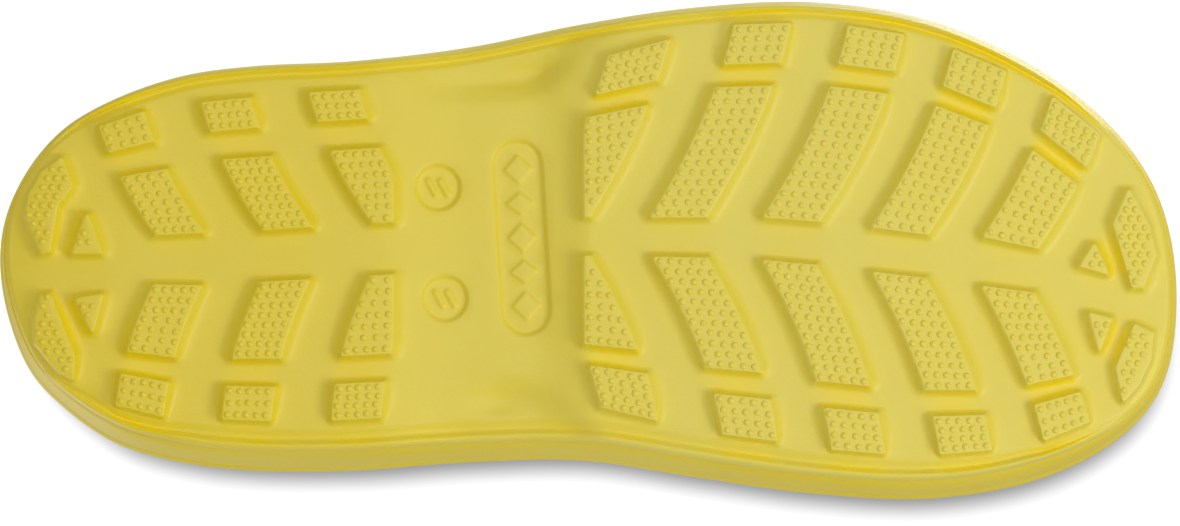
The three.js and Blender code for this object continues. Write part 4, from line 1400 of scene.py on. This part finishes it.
# ---- studio ----------------------------------------------------------------------------------------
SHADOW, SHADOW_X, SHADOW_Y = 0.74, 1.6, 0.2
SHADOW_EDGE, SHADOW_FADE, SHADOW_DEEP = (-2, 5), (8, 20), 0.6
NEAR_PAPER, FAR_PAPER = 30, 4000
PAPER_INSETS = np.r_[20, np.linspace(16, -8, 25), -NEAR_PAPER, -FAR_PAPER]


def paper(name, white, glow):
    """A white sheet seen from its front only. A mesh's shade attribute greys it."""
    f = Finish(name)
    shade = f.node("Attribute", out="Fac", attribute_name="shade")
    front = f.node("BsdfDiffuse", {"Color": (white, white, white, 1)})
    lit = f.node("Emission", {"Color": (1, 1, 1, 1), "Strength": glow - shade})
    both = f.node("AddShader", {0: front, 1: lit})
    clear = f.node("BsdfTransparent")
    back = f.node("NewGeometry", out="Backfacing")
    return f.done(f.node("MixShader", {0: back, 1: both, 2: clear}))


def sheet_of_paper(name, height, facing, white, glow):
    """A level sheet round the clog's outline. One that faces down is shaded softly close to it."""
    rings = []
    for inset in PAPER_INSETS:
        ring = edge(ROUND, max(inset, -NEAR_PAPER), height / MM)
        if inset < -NEAR_PAPER:
            ring[:, :2] = ring[:, :2] / np.linalg.norm(ring[:, :2], axis=1)[:, None] * -inset
        rings.append(ring + (SHADOW_X, SHADOW_Y, 0))
    count = len(ROUND)
    faces = [*quads(len(rings), count), list(range(count - 1))]
    shades = np.zeros(len(rings))
    if facing < 0:
        faces = [face[::-1] for face in faces]
        shades = SHADOW * rise(*SHADOW_EDGE, PAPER_INSETS)
        shades = shades * (1 - SHADOW_DEEP * rise(*SHADOW_FADE, PAPER_INSETS))
    mesh = bpy.data.meshes.new(name)
    mesh.from_pydata((np.concatenate(rings) * MM).tolist(), [], faces)
    shade = mesh.attributes.new("shade", "FLOAT", "POINT")
    shade.data.foreach_set("value", np.repeat(shades, count))
    mesh.materials.append(paper(name, white, glow))
    made = in_scene(name, mesh)
    made.visible_shadow = made.visible_diffuse = made.visible_glossy = False


def lamp(name, spot, size, power, target=(0, 0, 0.03)):
    """A round soft lamp, sized in metres and watts, that faces the clog."""
    data = bpy.data.lights.new(name, "AREA")
    data.shape, data.size, data.energy = "DISK", size, power
    made = in_scene(name, data)
    made.location = spot
    made.rotation_euler = (Vector(target) - Vector(spot)).to_track_quat("-Z", "Y").to_euler()


# A sheet's height, the way it faces, how white it is and how strongly it glows.
sheet_of_paper("floor", -0.0005, 1, 0.93, 0.3)
sheet_of_paper("ceiling", 0.0992, -1, 0.0, 1.05)
lamp("key_below", (0.95, 0.4, -0.85), 0.5, 5)
lamp("front_below", (0.15, -0.2, -1.4), 1.3, 5)
lamp("key_above", (0.5, -0.9, 1.2), 0.8, 11)
lamp("fill_above", (-0.9, 0.7, 0.9), 1.2, 5)

# The surround is brightest at the level of the horizon.
SURROUND, HORIZON = 0.42, 0.22
studio = Finish("studio", bpy.data.worlds)
upward = studio.node("SeparateXYZ", {0: studio.node("TexCoord")}, out=2)
level = studio.node("Math", {0: upward}, operation="ABSOLUTE")
band = 1 - clear_range(level, 0.1, 0.45)
surround = studio.node("Background", {"Color": (1, 1, 1, 1), "Strength": SURROUND + band * HORIZON})
bpy.context.scene.world = studio.done(surround, "World")
bpy.context.scene.view_settings.view_transform = "Standard"

# The camera looks up at the tread, tipped a little so that the inner sidewall shows.
TILT = math.radians(3.5)
DISTANCE = 5.0
VIEW_WIDTH = 0.2552
SENSOR = 36
aim = Vector((0.0004, 0.0042, 0.0))
back = Vector((0, math.sin(TILT), -math.cos(TILT)))
right = Vector((1, 0, 0))
camera_data = bpy.data.cameras.new("camera")
camera_data.sensor_width = SENSOR
camera_data.lens = DISTANCE * SENSOR / VIEW_WIDTH
camera_data.clip_start, camera_data.clip_end = 0.1, 20
camera = in_scene("camera", camera_data)
turn = Matrix((right, back.cross(right), back)).transposed().to_4x4()
camera.matrix_world = Matrix.Translation(aim + back * DISTANCE) @ turn
bpy.context.scene.camera = camera
